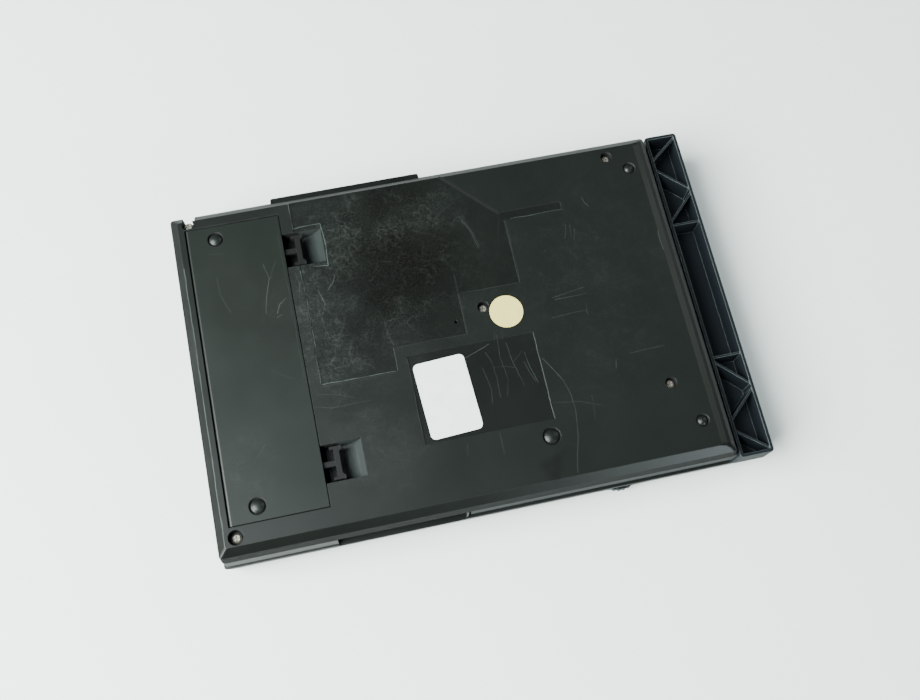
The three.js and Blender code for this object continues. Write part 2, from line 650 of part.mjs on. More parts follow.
// Battery door: a plate that turns on two pins at its left edge, with two sprung latches on its right edge
function doorLatch(y) {
  const neck = block(DOOR.x1 - 3, DOOR.x1 + 6, y - 1.4, y + 1.4, HEIGHT - 3.6, HEIGHT - 1.8);
  const bar = outline([
    [DOOR.x1 + 3.9, y - 8.4],
    [DOOR.x1 + 9.9, y - 8.4],
    [DOOR.x1 + 9.9, y - 6.6],
    [DOOR.x1 + 8.6, y - 5.4],
    [DOOR.x1 + 8.6, y + 5.4],
    [DOOR.x1 + 9.9, y + 6.6],
    [DOOR.x1 + 9.9, y + 8.4],
    [DOOR.x1 + 3.9, y + 8.4],
    [DOOR.x1 + 3.9, y + 6.9],
    [DOOR.x1 + 5.8, y + 6.9],
    [DOOR.x1 + 5.8, y - 6.9],
    [DOOR.x1 + 3.9, y - 6.9],
  ]);
  return join(neck, prism(bar, HEIGHT - 5.2, HEIGHT - 1.4));
}

function batteryDoor() {
  const under = HEIGHT - DOOR_THICK;
  const edge = new THREE.Shape();
  const reach = HINGE_X - (DOOR.x0 + DOOR_GAP);
  edge.moveTo(DOOR.x1 - DOOR_GAP, under);
  edge.lineTo(DOOR.x1 - DOOR_GAP, HEIGHT);
  edge.lineTo(HINGE_X, HEIGHT);
  edge.absarc(HINGE_X, HINGE_Z, reach, Math.PI / 2, Math.PI, false);
  edge.lineTo(DOOR.x0 + DOOR_GAP, under);
  const plate = across(edge, DOOR.y0 + DOOR_GAP, DOOR.y1 - DOOR_GAP, 5);
  const pins = [DOOR.y0 + DOOR_GAP - HINGE_PIN_LONG, DOOR.y1 - DOOR_GAP - 3].map((y) =>
    rodAcross(HINGE_X, HINGE_Z, HINGE_PIN_R, y, y + HINGE_PIN_LONG + 3, 10),
  );
  const ribs = [-40, 2, 44].map((y) =>
    block(DOOR.x0 + 8, DOOR.x1 - DOOR_LEDGE - 3, y - 0.7, y + 0.7, under - 0.4, under + 1),
  );
  const body = cut(join(plate, ...pins, ...ribs, ...NOTCHES.map(doorLatch)), ...DOOR_FEET.map(footMoat));
  return join(body, ...DOOR_FEET.map(footDome));
}
piece("battery_door", batteryDoor(), CASE_PLASTIC);

// Carrying handle: the diagonal ribs run from the outer rail to the inner one, as two distances from its end
const HANDLE_RIBS = [
  [2, 14.7],
  [34.5, 19.6],
  [36.9, 52.6],
].map((ends) => ends.map((inwards) => HANDLE.half - inwards));

function bar(x0, y0, x1, y1, thick, z0, z1) {
  const long = Math.hypot(x1 - x0, y1 - y0);
  const nx = ((y0 - y1) / long) * (thick / 2);
  const ny = ((x1 - x0) / long) * (thick / 2);
  const corners = [
    [x0 - nx, y0 - ny],
    [x1 - nx, y1 - ny],
    [x1 + nx, y1 + ny],
    [x0 + nx, y0 + ny],
  ];
  return prism(outline(corners), z0, z1);
}

function carryHandle() {
  const { x0, x1, half, z0, z1 } = HANDLE;
  const plan = { x0, x1, y0: -half, y1: half };
  const lowPlan = { x0, x1: x1 - 0.9, y0: -half + 0.9, y1: half - 0.9 };
  const outer = loft([
    roundedRing(lowPlan, 1.5, z0, 3),
    roundedRing(plan, 1.5, z0 + 2, 3),
    roundedRing(plan, 1.5, z1, 3),
  ]);
  const inX = x0 + HANDLE_RAIL;
  const outX = x1 - HANDLE_RAIL;
  const floor = z0 + HANDLE_FLOOR;
  const channel = block(inX, outX, -half + HANDLE_RAIL, half - HANDLE_RAIL, floor, z1 + 1);
  const ribTop = z1 - HANDLE_RIB_SUNK;
  const ribs = [-1, 1].flatMap((side) => [
    ...HANDLE_RIBS.map(([yOut, yIn]) =>
      bar(outX + 0.8, side * yOut, inX - 0.8, side * yIn, HANDLE_RIB, floor - 0.5, ribTop),
    ),
    bar(inX - 0.8, side * GRIP_HALF, outX + 0.8, side * GRIP_HALF, HANDLE_RIB, floor - 0.5, ribTop),
  ]);
  const arms = [-1, 1].flatMap((side) => {
    const start = armStart(side);
    const [yLow, yHigh] = [side * ARM.y0, side * ARM.y1].sort((a, b) => a - b);
    const [lugLow, lugHigh] = [side * (GROOVE_BACK - 0.7), side * (ARM.y0 + 0.5)].sort((a, b) => a - b);
    return [
      block(start, inX - 0.5, yLow, yHigh, ARM.z0, ARM.z1),
      block(start, start + LUG_LONG, lugLow, lugHigh, LUG_MID_Z - LUG_HALF, LUG_MID_Z + LUG_HALF),
    ];
  });
  return join(cut(outer, channel), ...ribs, ...arms);
}
piece("carry_handle", carryHandle(), HANDLE_PLASTIC);

// Case screws with cross recesses
function caseScrew(x, y) {
  const seat = screwSeat + 0.1;
  const head = turned(
    x,
    y,
    [
      [0, seat - SCREW_LONG],
      [SCREW_R, seat - SCREW_LONG + 1],
      [SCREW_R, seat],
      [SCREW_HEAD_R, seat],
      [SCREW_HEAD_R, seat + SCREW_HEAD_TALL * 0.45],
      [SCREW_HEAD_R * 0.62, seat + SCREW_HEAD_TALL],
      [0, seat + SCREW_HEAD_TALL],
    ],
    12,
  );
  const top = seat + SCREW_HEAD_TALL;
  const slotHalf = SCREW_HEAD_R * 0.55;
  return cut(
    head,
    block(x - slotHalf, x + slotHalf, y - 0.35, y + 0.35, top - 0.8, top + 1),
    block(x - 0.35, x + 0.35, y - slotHalf, y + slotHalf, top - 0.8, top + 1),
  );
}
SCREWS.forEach(([x, y], k) => piece(`case_screw_${k + 1}`, caseScrew(x, y), ZINCED_STEEL));

// Bare label and bare round sticker
function ratingLabel() {
  const { x, y, long, wide, round, turn, thick } = LABEL;
  const shape = roundedOutline(-wide / 2, wide / 2, -long / 2, long / 2, round);
  const sheet = new THREE.ExtrudeGeometry(shape, { depth: thick, bevelEnabled: false, curveSegments: 3 });
  return solid(sheet.rotateZ((turn * Math.PI) / 180).translate(x, y, HEIGHT - RECESS_DEEP + 0.05));
}
piece("rating_label", ratingLabel(), WHITE_FILM);
const stickerLow = HEIGHT + 0.05;
const stickerDisc = disc(STICKER.x, STICKER.y, STICKER.r, stickerLow, stickerLow + STICKER.thick, 32);
piece("round_sticker", stickerDisc, CREAM_PAPER);

// Volume thumbwheel, knurled, and the control that it turns
const VOLUME_Y = -VOLUME.out + VOLUME.r;
function volumeWheel() {
  const teeth = 30;
  const points = Array.from({ length: 2 * teeth }, (_, i) => {
    const r = VOLUME.r - (i % 2) * 0.6;
    const a = (i * Math.PI) / teeth;
    return [VOLUME.x + r * Math.cos(a), VOLUME_Y + r * Math.sin(a)];
  });
  const stem = disc(VOLUME.x, VOLUME_Y, 2.2, VOLUME.z1 - 0.5, 14, 16);
  return join(prism(outline(points), VOLUME.z0, VOLUME.z1), stem);
}
piece("volume_wheel", volumeWheel(), HANDLE_PLASTIC);

function volumeControl() {
  const can = disc(VOLUME.x, VOLUME_Y, 5.3, VOLUME.z1 + 0.6, BOARD.z - 0.2, 20);
  return cut(can, disc(VOLUME.x, VOLUME_Y, 2.5, VOLUME.z1, 14.4, 16));
}
piece("volume_control", volumeControl(), ZINCED_STEEL);

// Circuit board with its parts soldered on.
// Blocks are x, y, length, width, height, and cans are x, y, radius, height.
function circuitBoard() {
  const { x0, x1, y0, y1, z } = BOARD;
  const top = z + BOARD_THICK;
  const row = (y1 - y0) / BOARD_FIELD.wide;
  const column = (x1 - x0) / BOARD_FIELD.long;
  const plate = block(x0, x1, y0, y1, z, top);
  const blocks = [
    [14, 12, 20, 7, 3.5],
    [44, 14, 9, 9, 8],
    [62, 8, 24, 6, 3],
    [88, 17, 14, 5, 9],
  ].map(([dx, dy, long, wide, tall]) =>
    centredBlock(x0 + dx * column, y0 + dy * row, long * column, wide * row, top - 0.5, top + tall),
  );
  const cans = [
    [30, 18, 4, 12],
    [30, 7, 3, 9],
    [74, 18, 5, 16],
    [96, 8, 2.5, 7],
  ].map(([dx, dy, r, tall]) => disc(x0 + dx * column, y0 + dy * row, r * row, top - 0.5, top + tall, 12));
  return join(plate, ...blocks, ...cans);
}
piece("circuit_board", circuitBoard(), BOARD_LAMINATE);

// Sockets in the jack bay
function jackSocket(x, hole) {
  const half = SOCKET_HALF;
  const mouth = -JACK_BAY.floor + 0.2;
  const body = block(x - half, x + half, mouth, mouth + 14.8, SOCKET_Z - half, SOCKET_Z + half);
  return cut(body, rodAcross(x, SOCKET_Z, hole, -JACK_BAY.floor - 1, -JACK_BAY.floor + 12, 16));
}
for (const [name, x, hole] of SOCKETS) piece(name, jackSocket(x, hole), HANDLE_PLASTIC);

function mainsInlet() {
  const { x, half, tall } = INLET;
  const mouth = -JACK_BAY.floor + 0.2;
  const low = SOCKET_Z - tall / 2;
  const body = block(x - half, x + half, mouth, mouth + 16, low, low + tall);
  const hollows = [-3.6, 3.6].map((dx) => rodAcross(x + dx, SOCKET_Z, 3.5, mouth - 1, mouth + 12, 14));
  const pins = [-4.3, 4.3].map((dx) => rodAcross(x + dx, SOCKET_Z, 1.15, mouth + 1, mouth + 13, 8));
  return join(cut(body, ...hollows), ...pins);
}
piece("mains_inlet", mainsInlet(), HANDLE_PLASTIC);

// Mains transformer: laminated core round a wound bobbin
function mainsTransformer() {
  const { x0, x1, y0, y1, z0, z1 } = TRANSFORMER;
  const core = block(x0, x1, y0 + 8, y1 - 8, z0, z1);
  const bobbin = block(x0 + 6, x1 - 6, y0, y1, z0 + 6, z1 - 6);
  const feet = block(x0 - 2, x1 + 2, y0 + 11, y1 - 11, z0, z0 + 1.2);
  return join(core, bobbin, feet);
}
piece("mains_transformer", mainsTransformer(), COPPER_WOUND);

// Loudspeaker: pressed basket with its magnet, and the paper cone
function speakerBasket() {
  const r = SPEAKER.r;
  const base = WALL + CLEAR;
  return turned(
    SPEAKER.x,
    SPEAKER.y,
    [
      [r - 4, base],
      [r, base],
      [r, base + 1.4],
      [r - 2.5, base + 1.8],
      [r * 0.5, base + 18],
      [r * 0.53, base + 18],
      [r * 0.53, base + 28],
      [0, base + 28],
      [0, base + 17.8],
      [r * 0.45, base + 17.6],
      [r - 4.8, base + 2.2],
    ],
    26,
  );
}
piece("speaker_basket", speakerBasket(), ZINCED_STEEL);

function speakerCone() {
  const r = SPEAKER.r;
  const base = WALL + CLEAR;
  const rim = base + 2.2;
  const apex = base + 15;
  return turned(
    SPEAKER.x,
    SPEAKER.y,
    [
      [r - 5.3, rim],
      [r * 0.2, apex],
      [0, apex - 2.5],
      [0, apex - 3.1],
      [r * 0.19, apex - 0.8],
      [r - 6.2, rim - 0.2],
    ],
    26,
  );
}
piece("speaker_cone", speakerCone(), BLACK_PAPER);

const micLow = WALL + CLEAR;
const capsule = disc(MICROPHONE.x, MICROPHONE.y, MICROPHONE.r, micLow, micLow + 6.2, 20);
piece("microphone_capsule", capsule, ZINCED_STEEL);

// Tape deck: the deck plate and everything that it carries
const BUSH_R = 3;
const hubSpacing = Math.hypot(CAPSTAN.x - REEL_X, CAPSTAN.y - REEL_HALF);
const idlerR = (hubSpacing - HUB_GEAR_R - REEL_GEAR_R) / 2 - CLEAR;
const idlerPlace = (() => {
  const dx = REEL_X - CAPSTAN.x;
  const dy = REEL_HALF - CAPSTAN.y;
  const reach = (HUB_GEAR_R + CLEAR + idlerR) / Math.hypot(dx, dy);
  return [CAPSTAN.x + dx * reach, CAPSTAN.y + dy * reach];
})();
const PILLAR_OUT = (FLYWHEEL_R * 7) / 9;
const PILLARS = [-1, 1].map((side) => [CAPSTAN.x + side * PILLAR_OUT, CAPSTAN.y - PILLAR_OUT]);

function deckPlate() {
  const { x0, x1, y0, y1 } = DECK;
  const top = DECK_Z + DECK_THICK;
  const hole = (x, y, r, sides = 12) => disc(x, y, r, DECK_Z - 1, top + 1, sides);
  const plate = cut(
    block(x0, x1, y0, y1, DECK_Z, top),
    hole(MOTOR.x, MOTOR.y, MOTOR.r + 0.4, 24),
    hole(CAPSTAN.x, CAPSTAN.y, BUSH_R + 0.2),
    hole(REEL_X, REEL_HALF, 2.4),
    hole(REEL_X, -REEL_HALF, 2.4),
    ...SCREWS.slice(2, 4).map(([x, y]) => hole(x, y, SCREW_BOSS_R + 0.6)),
    block(SCREWS[2][0] - 4, x1 + 1, SCREWS[2][1] - 4, y1 + 1, DECK_Z - 1, top + 1),
  );
  const flange = block(x0 + 10, x1 - 16, y0, y0 + 1.2, DECK_Z - 3, DECK_Z + 0.5);
  return join(plate, flange, disc(...idlerPlace, 0.8, top - 0.5, top + 3.4, 8));
}
piece("deck_plate", deckPlate(), ZINCED_STEEL);

function capstanFlywheel() {
  const [low, high] = FLYWHEEL_Z;
  const grooveR = FLYWHEEL_R - GROOVE_DEEP;
  return turned(
    CAPSTAN.x,
    CAPSTAN.y,
    [
      [0, 4.4],
      [CAPSTAN.r, 4.4],
      [CAPSTAN.r, GEAR_Z[0] + 0.2],
      [HUB_GEAR_R, GEAR_Z[0] + 0.2],
      [HUB_GEAR_R, GEAR_Z[1]],
      [3, GEAR_Z[1]],
      [3, low],
      [FLYWHEEL_R, low],
      [FLYWHEEL_R, BELT_Z - 1.2],
      [grooveR, BELT_Z - 1],
      [grooveR, BELT_Z + 1],
      [FLYWHEEL_R, BELT_Z + 1.2],
      [FLYWHEEL_R, high],
      [CAPSTAN.r, high],
      [CAPSTAN.r, high + 1.1],
      [0, high + 1.1],
    ],
    26,
  );
}
piece("capstan_flywheel", capstanFlywheel(), ZINCED_STEEL);

const bushTop = GEAR_Z[0] - 0.2;
const bush = disc(CAPSTAN.x, CAPSTAN.y, BUSH_R, DECK_Z - 1.1, bushTop, 16);
const bushBore = disc(CAPSTAN.x, CAPSTAN.y, CAPSTAN.r + 0.2, DECK_Z - 2, bushTop + 1, 16);
piece("capstan_bush", cut(bush, bushBore), BRASS);

function flywheelBracket() {
  const low = FLYWHEEL_Z[1] + 1.4;
  const shape = outline([
    [PILLARS[0][0] - 3, PILLARS[0][1] - 3],
    [PILLARS[1][0] + 3, PILLARS[1][1] - 3],
    [PILLARS[1][0] + 3, PILLARS[1][1] + 3],
    [CAPSTAN.x + 4, CAPSTAN.y + 4],
    [CAPSTAN.x - 4, CAPSTAN.y + 4],
    [PILLARS[0][0] - 3, PILLARS[0][1] + 3],
  ]);
  const posts = PILLARS.map(([x, y]) => disc(x, y, 1.4, DECK_Z + DECK_THICK + 0.2, low + 0.5, 10));
  return join(prism(shape, low, low + 1.2), ...posts);
}
piece("flywheel_bracket", flywheelBracket(), ZINCED_STEEL);

const motorCan = disc(MOTOR.x, MOTOR.y, MOTOR.r, MOTOR.z0, MOTOR.z1, 28);
piece("motor", cut(motorCan, disc(MOTOR.x, MOTOR.y, 1.3, MOTOR.z1 - 10, MOTOR.z1 + 1, 12)), ZINCED_STEEL);

function motorPulley() {
  const grooveR = PULLEY_R - GROOVE_DEEP;
  return turned(
    MOTOR.x,
    MOTOR.y,
    [
      [0, MOTOR.z1 - 9],
      [1, MOTOR.z1 - 9],
      [1, MOTOR.z1 + 0.4],
      [PULLEY_R, MOTOR.z1 + 0.4],
      [grooveR, BELT_Z - 0.9],
      [grooveR, BELT_Z + 0.9],
      [PULLEY_R, BELT_Z + 1.6],
      [PULLEY_R, BELT_Z + 2.4],
      [0, BELT_Z + 2.4],
    ],
    16,
  );
}
piece("motor_pulley", motorPulley(), BRASS);

// Straight runs join two arcs, so the same outline serves the inner and the outer face of the belt.
function beltOutline(big, small) {
  const dx = MOTOR.x - CAPSTAN.x;
  const dy = MOTOR.y - CAPSTAN.y;
  const heading = Math.atan2(dy, dx);
  const lean = Math.acos((big - small) / Math.hypot(dx, dy));
  const points = [];
  const arc = (cx, cy, r, from, to, steps) => {
    for (let i = 0; i <= steps; i++) {
      const a = from + ((to - from) * i) / steps;
      points.push([cx + r * Math.cos(a), cy + r * Math.sin(a)]);
    }
  };
  arc(CAPSTAN.x, CAPSTAN.y, big, heading + lean, heading + 2 * Math.PI - lean, 26);
  arc(MOTOR.x, MOTOR.y, small, heading - lean, heading + lean, 8);
  return outline(points);
}

function driveBelt() {
  const big = FLYWHEEL_R - GROOVE_DEEP + CLEAR;
  const small = PULLEY_R - GROOVE_DEEP + CLEAR;
  const low = BELT_Z - BELT_HALF;
  const high = BELT_Z + BELT_HALF;
  const full = prism(beltOutline(big + BELT_THICK, small + BELT_THICK), low, high);
  return cut(full, prism(beltOutline(big, small), low - 1, high + 1));
}
piece("drive_belt", driveBelt(), BLACK_RUBBER);

function idlerWheel() {
  const [x, y] = idlerPlace;
  const [low, high] = GEAR_Z;
  return cut(disc(x, y, idlerR, low, high, 18), disc(x, y, 1.05, low - 1, high + 1, 12));
}
piece("idler_wheel", idlerWheel(), BLACK_RUBBER);

// Reel spindle: three fins that grip the cassette hub, a table, and the friction wheel above the deck
function reelSpindle(y) {
  const body = turned(
    REEL_X,
    y,
    [
      [0, 5],
      [1.6, 5.6],
      [2.6, 8],
      [2.6, 15.7],
      [9, 15.9],
      [9, 17.6],
      [2, 17.6],
      [2, GEAR_Z[0]],
      [REEL_GEAR_R, GEAR_Z[0]],
      [REEL_GEAR_R, GEAR_Z[1]],
      [0, GEAR_Z[1]],
    ],
    20,
  );
  const fins = [0, 1, 2].map((k) => {
    const a = (k * 2 * Math.PI) / 3;
    const tip = [REEL_X + 4.1 * Math.cos(a), y + 4.1 * Math.sin(a)];
    return bar(REEL_X, y, ...tip, 1, 8.4, 16);
  });
  return join(body, ...fins);
}
piece("supply_spindle", reelSpindle(-REEL_HALF), WHITE_NYLON);
piece("takeup_spindle", reelSpindle(REEL_HALF), WHITE_NYLON);

// Sliding head plate with the heads and the pinch roller
const HEAD_PLATE = { x0: WELL.x1 - 1.2, x1: WELL.x1 + 13.3, y0: -30, y1: 38, z0: 16.4, z1: 17.5 };
const ROLLER_R = 6.3;
const ROLLER_X = CAPSTAN.x + CAPSTAN.r + ROLLER_R + HEAD_TRAVEL + 0.5;

function headPlate() {
  const { x0, x1, y0, y1, z0, z1 } = HEAD_PLATE;
  const axle = disc(ROLLER_X, CAPSTAN.y, 1, 4.6, z0 + 0.5, 10);
  const tab = block(x1 - 4, x1, -4, 4, z0 - 4, z0 + 0.5);
  return join(block(x0, x1, y0, y1, z0, z1), axle, tab);
}
piece("head_plate", headPlate(), ZINCED_STEEL);

function tapeHead(x0, x1, y0, y1) {
  const shape = new THREE.Shape();
  shape.moveTo(x1, y0);
  shape.lineTo(x1, y1);
  shape.lineTo(x0 + 2, y1);
  shape.quadraticCurveTo(x0 - 1.6, (y0 + y1) / 2, x0 + 2, y0);
  return prism(shape, 5, HEAD_PLATE.z0 - 0.1, 6);
}
piece("record_play_head", tapeHead(HEAD_PLATE.x0 + 2.8, HEAD_PLATE.x1 - 4.4, -6.5, 6.5), ZINCED_STEEL);
piece("erase_head", tapeHead(HEAD_PLATE.x0 + 3.5, HEAD_PLATE.x1 - 4.4, -25, -17), ZINCED_STEEL);

const roller = disc(ROLLER_X, CAPSTAN.y, ROLLER_R, 5, 14.5, 24);
piece("pinch_roller", cut(roller, disc(ROLLER_X, CAPSTAN.y, 1.3, 4, 16, 12)), BLACK_RUBBER);

// Piano keys on one shaft
const shaftHalf = 3 * KEY_PITCH + 1;
const keyShaft = rodAcross(KEY_SHAFT.x, KEY_SHAFT.z, KEY_SHAFT.r, -shaftHalf, shaftHalf, 12);
piece("key_shaft", keyShaft, ZINCED_STEEL);

function pianoKey(k) {
  const y = keyMiddle(k);
  const { x0, x1 } = KEY_CAP;
  const eye = rodAcross(KEY_SHAFT.x, KEY_SHAFT.z, 2.9, y - 3, y + 3, 10);
  const lever = across(
    outline([
      [KEY_SHAFT.x, KEY_SHAFT.z - 2.6],
      [x0 + 2, 3],
      [x0 + 2, 7.5],
      [KEY_SHAFT.x, KEY_SHAFT.z + 2.8],
    ]),
    y - 3,
    y + 3,
  );
  const cap = across(
    outline([
      [x0, 1.4],
      [x0 + 1, 0.5],
      [x1 - 4, 0.5],
      [x1, 2.2],
      [x1, 7.5],
      [x0, 7.5],
    ]),
    y - KEY_WIDE / 2,
    y + KEY_WIDE / 2,
  );
  const bore = rodAcross(KEY_SHAFT.x, KEY_SHAFT.z, KEY_SHAFT.r + 0.3, y - 4, y + 4, 8);
  return cut(join(eye, lever, cap), bore);
}
KEY_NAMES.forEach((name, k) => piece(`${name}_key`, pianoKey(k), KEY_PLASTIC));

// Cassette door with its window, hinged at the loudspeaker side

function cassetteDoor() {
  const { x1, half, z0, thick } = LID;
  const side = new THREE.Shape();
  side.moveTo(x1, z0);
  side.lineTo(x1, z0 + thick);
  side.lineTo(LID_AXIS_X, z0 + thick);
  side.absarc(LID_AXIS_X, LID_AXIS_Z, thick / 2, Math.PI / 2, Math.PI * 1.5, false);
  const plate = across(side, -half, half, 6);
  const pins = [-1, 1].map((s) => {
    const [a, b] = [s * (half - 1), s * (half + LID_PIN_LONG)].sort((p, q) => p - q);
    return rodAcross(LID_AXIS_X, LID_AXIS_Z, LID_PIN_R, a, b, 8);
  });
  const { x0: px0, x1: px1, half: ph, lip } = PANE;
  const through = block(px0 + lip, px1 - lip, -ph + lip, ph - lip, -1, z0 + thick + 1);
  const seat = block(px0 - CLEAR, px1 + CLEAR, -ph - CLEAR, ph + CLEAR, z0 + thick - 1.1, z0 + thick + 1);
  return cut(join(plate, ...pins), through, seat);
}
piece("cassette_door", cassetteDoor(), CASE_PLASTIC);

const paneLow = LID.z0 + LID.thick - 1;
piece(
  "cassette_window",
  block(PANE.x0, PANE.x1, -PANE.half, PANE.half, paneLow, paneLow + PANE.thick),
  CLEAR_PLASTIC,
);

// Tape counter with its number drum and reset button
const DRUM = { x: (COUNTER.x0 + COUNTER.x1) / 2, z: 8.2, r: 4.3, y0: COUNTER.y0 + 2.2, y1: COUNTER.y1 - 2.2 };
function tapeCounter() {
  const { x0, x1, y0, y1, z0, z1 } = COUNTER;
  return cut(
    block(x0, x1, y0, y1, z0, z1),
    block(x0 + 1.6, x1 - 1.6, y0 + 1.6, y1 - 1.6, z0 - 1, z1 - 1),
    rodAcross(DRUM.x, DRUM.z, 1, y0 - 1, y1 + 1, 10),
  );
}
piece("tape_counter", tapeCounter(), WHITE_NYLON);

function counterDrum() {
  const drum = rodAcross(DRUM.x, DRUM.z, DRUM.r, DRUM.y0, DRUM.y1, 20);
  return join(drum, rodAcross(DRUM.x, DRUM.z, 0.75, COUNTER.y0 + 0.4, COUNTER.y1 - 0.4, 8));
}
piece("counter_drum", counterDrum(), HANDLE_PLASTIC);

function resetButton() {
  const { x, y, half, z0, z1 } = RESET;
  const low = WALL + CLEAR;
  const flange = centredBlock(x, y, 2 * half + 2, 2 * half + 2, low, low + 1.2);
  return join(centredBlock(x, y, 2 * half, 2 * half, z0, z1), flange);
}
piece("counter_reset_button", resetButton(), KEY_PLASTIC);

// Battery contacts: sprung coils on plates, and the strip that links the two rows of cells
class ConeCoil extends THREE.Curve {
  constructor(x, y, z, rWide, rNarrow, turns, length) {
    super();
    Object.assign(this, { x, y, z, rWide, rNarrow, turns, length });
  }
  getPoint(t, target = new THREE.Vector3()) {
    const a = t * this.turns * 2 * Math.PI;
    const r = this.rWide + (this.rNarrow - this.rWide) * t;
    return target.set(this.x + r * Math.cos(a), this.y + this.length * t, this.z + r * Math.sin(a));
  }
}

const ROW_X = [BAY.x0 + 13.3, BAY.x1 - 13.3];
const CELL_Z = BAY.floor + 13.4;
const CONTACT_THICK = 0.6;
const WIRE_R = 0.5;

function contactCoil(x, y, towards) {
  const path = new ConeCoil(x, y, CELL_Z, 6.4, 3.4, 3, towards * 4.6);
  const wire = new THREE.Shape();
  wire.absarc(0, 0, WIRE_R, 0, 2 * Math.PI);
  return solid(new THREE.ExtrudeGeometry(wire, { steps: 27, extrudePath: path, curveSegments: 4 }));
}

function contactPlate(x0, x1, y) {
  return block(x0, x1, y, y + CONTACT_THICK, CELL_Z - 7.5, CELL_Z + 7);
}

const nearPlateY = BAY.y0 + 0.2;
const farPlateY = BAY.y1 - 0.2 - CONTACT_THICK;
const nearSpring = join(
  contactPlate(ROW_X[0] - 7, ROW_X[0] + 7, nearPlateY),
  contactCoil(ROW_X[0], nearPlateY + CONTACT_THICK, 1),
);
piece("battery_spring_contact", nearSpring, SPRING_STEEL);

function bump(x, y, towards) {
  const [a, b] = [y, y + towards * 1.4].sort((p, q) => p - q);
  return rodAcross(x, CELL_Z, 3, a, b, 12);
}
const nearPlus = join(
  contactPlate(ROW_X[1] - 7, ROW_X[1] + 7, nearPlateY),
  bump(ROW_X[1], nearPlateY + CONTACT_THICK - 0.2, 1),
);
piece("battery_plus_contact", nearPlus, SPRING_STEEL);
const farLink = join(
  contactPlate(ROW_X[0] - 7, ROW_X[1] + 7, farPlateY),
  contactCoil(ROW_X[1], farPlateY, -1),
  bump(ROW_X[0], farPlateY + 0.2, -1),
);
piece("battery_link_plate", farLink, SPRING_STEEL);

// Frame of the part: the box is centred under the origin
const reach = new THREE.Box3().setFromObject(recorder);
recorder.position.set(-(reach.min.x + reach.max.x) / 2, -(reach.min.y + reach.max.y) / 2, 0);
const part = new THREE.Group();
part.add(recorder);
export default part;
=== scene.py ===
"""Looks of a portable cassette recorder that lies on its face, on a pale table, with its worn underside up.

The CAD frame is in metres. Plan positions are written in millimetres from the battery end of the case and
from its centre line, as in the part's source.
"""

import logging  # noqa: E402
import math  # noqa: E402
from dataclasses import dataclass, replace  # noqa: E402
from enum import Enum  # noqa: E402
from typing import Any, Sequence  # noqa: E402

import bpy  # noqa: E402
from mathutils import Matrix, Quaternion, Vector  # noqa: E402


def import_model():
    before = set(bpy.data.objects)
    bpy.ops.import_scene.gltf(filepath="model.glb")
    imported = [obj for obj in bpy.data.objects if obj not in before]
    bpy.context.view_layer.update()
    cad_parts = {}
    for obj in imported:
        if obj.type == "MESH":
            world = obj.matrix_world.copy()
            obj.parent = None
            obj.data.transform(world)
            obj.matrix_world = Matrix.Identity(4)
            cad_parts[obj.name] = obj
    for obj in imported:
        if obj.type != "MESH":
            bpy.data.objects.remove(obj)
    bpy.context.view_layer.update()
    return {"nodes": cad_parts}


log = logging.getLogger("recorder")

MM = 0.001

# Middle of the case in the plan and height of the flat of the underside, in mm
PLAN_SHIFT_X = 139.975
UNDERSIDE_Z = 42.0

# Depths under that flat, in mm: a mask is 0 at the first and whole at the second
RECESS_DEPTHS = (0.3, 0.2)
BEVEL_DEPTHS = (0.7, 0.5)
WELL_DEPTHS = (0.9, 0.5)

# Share of a blot's size over which it keeps its full strength
BLOT_CORE = 0.2

# Value round which those of a noise lie
NOISE_MIDDLE = 0.5

# Inputs and output of a Mix node that hold its colours
COLOUR_A, COLOUR_B, COLOUR_OUT = 6, 7, 2

Colour = tuple[float, float, float, float]
Point = tuple[float, float]
Place = tuple[float, float, float]


def linear(hex_colour: str) -> Colour:
    """Turns an sRGB hex colour into linear light.

    Args:
        hex_colour: colour written as #rrggbb.

    Returns:
        Linear red, green, blue and an alpha of one.
    """
    channels = [int(hex_colour[i : i + 2], 16) / 255 for i in (1, 3, 5)]
    made = [c / 12.92 if c <= 0.04045 else ((c + 0.055) / 1.055) ** 2.4 for c in channels]
    return (made[0], made[1], made[2], 1.0)


class Graph:
    """A node tree, grown one node at a time."""

    def __init__(self, tree: bpy.types.NodeTree) -> None:
        """Starts from an empty tree.

        Args:
            tree: node tree of a material or of a group.
        """
        self.tree = tree
        self.tree.nodes.clear()

    def add(self, kind: str, inputs: dict[Any, Any] | None = None, **settings: Any) -> Any:
        """Adds a node, sets it up and joins it.

        Args:
            kind: node type, without its ShaderNode prefix if it has that one.
            inputs: value, or socket to link, for each input by name or number.
            settings: attributes of the node itself.

        Returns:
            The new node.
        """
        made = self.tree.nodes.new(kind if kind.startswith("NodeGroup") else "ShaderNode" + kind)
        for key, value in settings.items():
            setattr(made, key, value)
        for key, value in (inputs or {}).items():
            socket = made.inputs[key]
            if isinstance(value, bpy.types.NodeSocket):
                self.tree.links.new(value, socket)
            else:
                socket.default_value = value
        return made


def material_graph(name: str) -> tuple[bpy.types.Material, Graph]:
    """Makes a material with an empty node tree.

    Args:
        name: name of the material.

    Returns:
        The material and its graph.
    """
    material = bpy.data.materials.new(name)
    material.use_nodes = True
    return material, Graph(material.node_tree)


@dataclass(frozen=True)
class Ramp:
    """A stretch of values: what comes in between two levels goes out between two others.

    Attributes:
        low: level that gives the start, as a number or a socket.
        high: level that gives the end.
        start: what goes out at the low level.
        end: what goes out at the high level.
    """

    low: Any
    high: Any
    start: Any = 0.0
    end: Any = 1.0

    def of(self, value: Any) -> dict[Any, Any]:
        """Writes the inputs of a MapRange node that stretches a socket's value."""
        return {"Value": value, 1: self.low, 2: self.high, 3: self.start, 4: self.end}


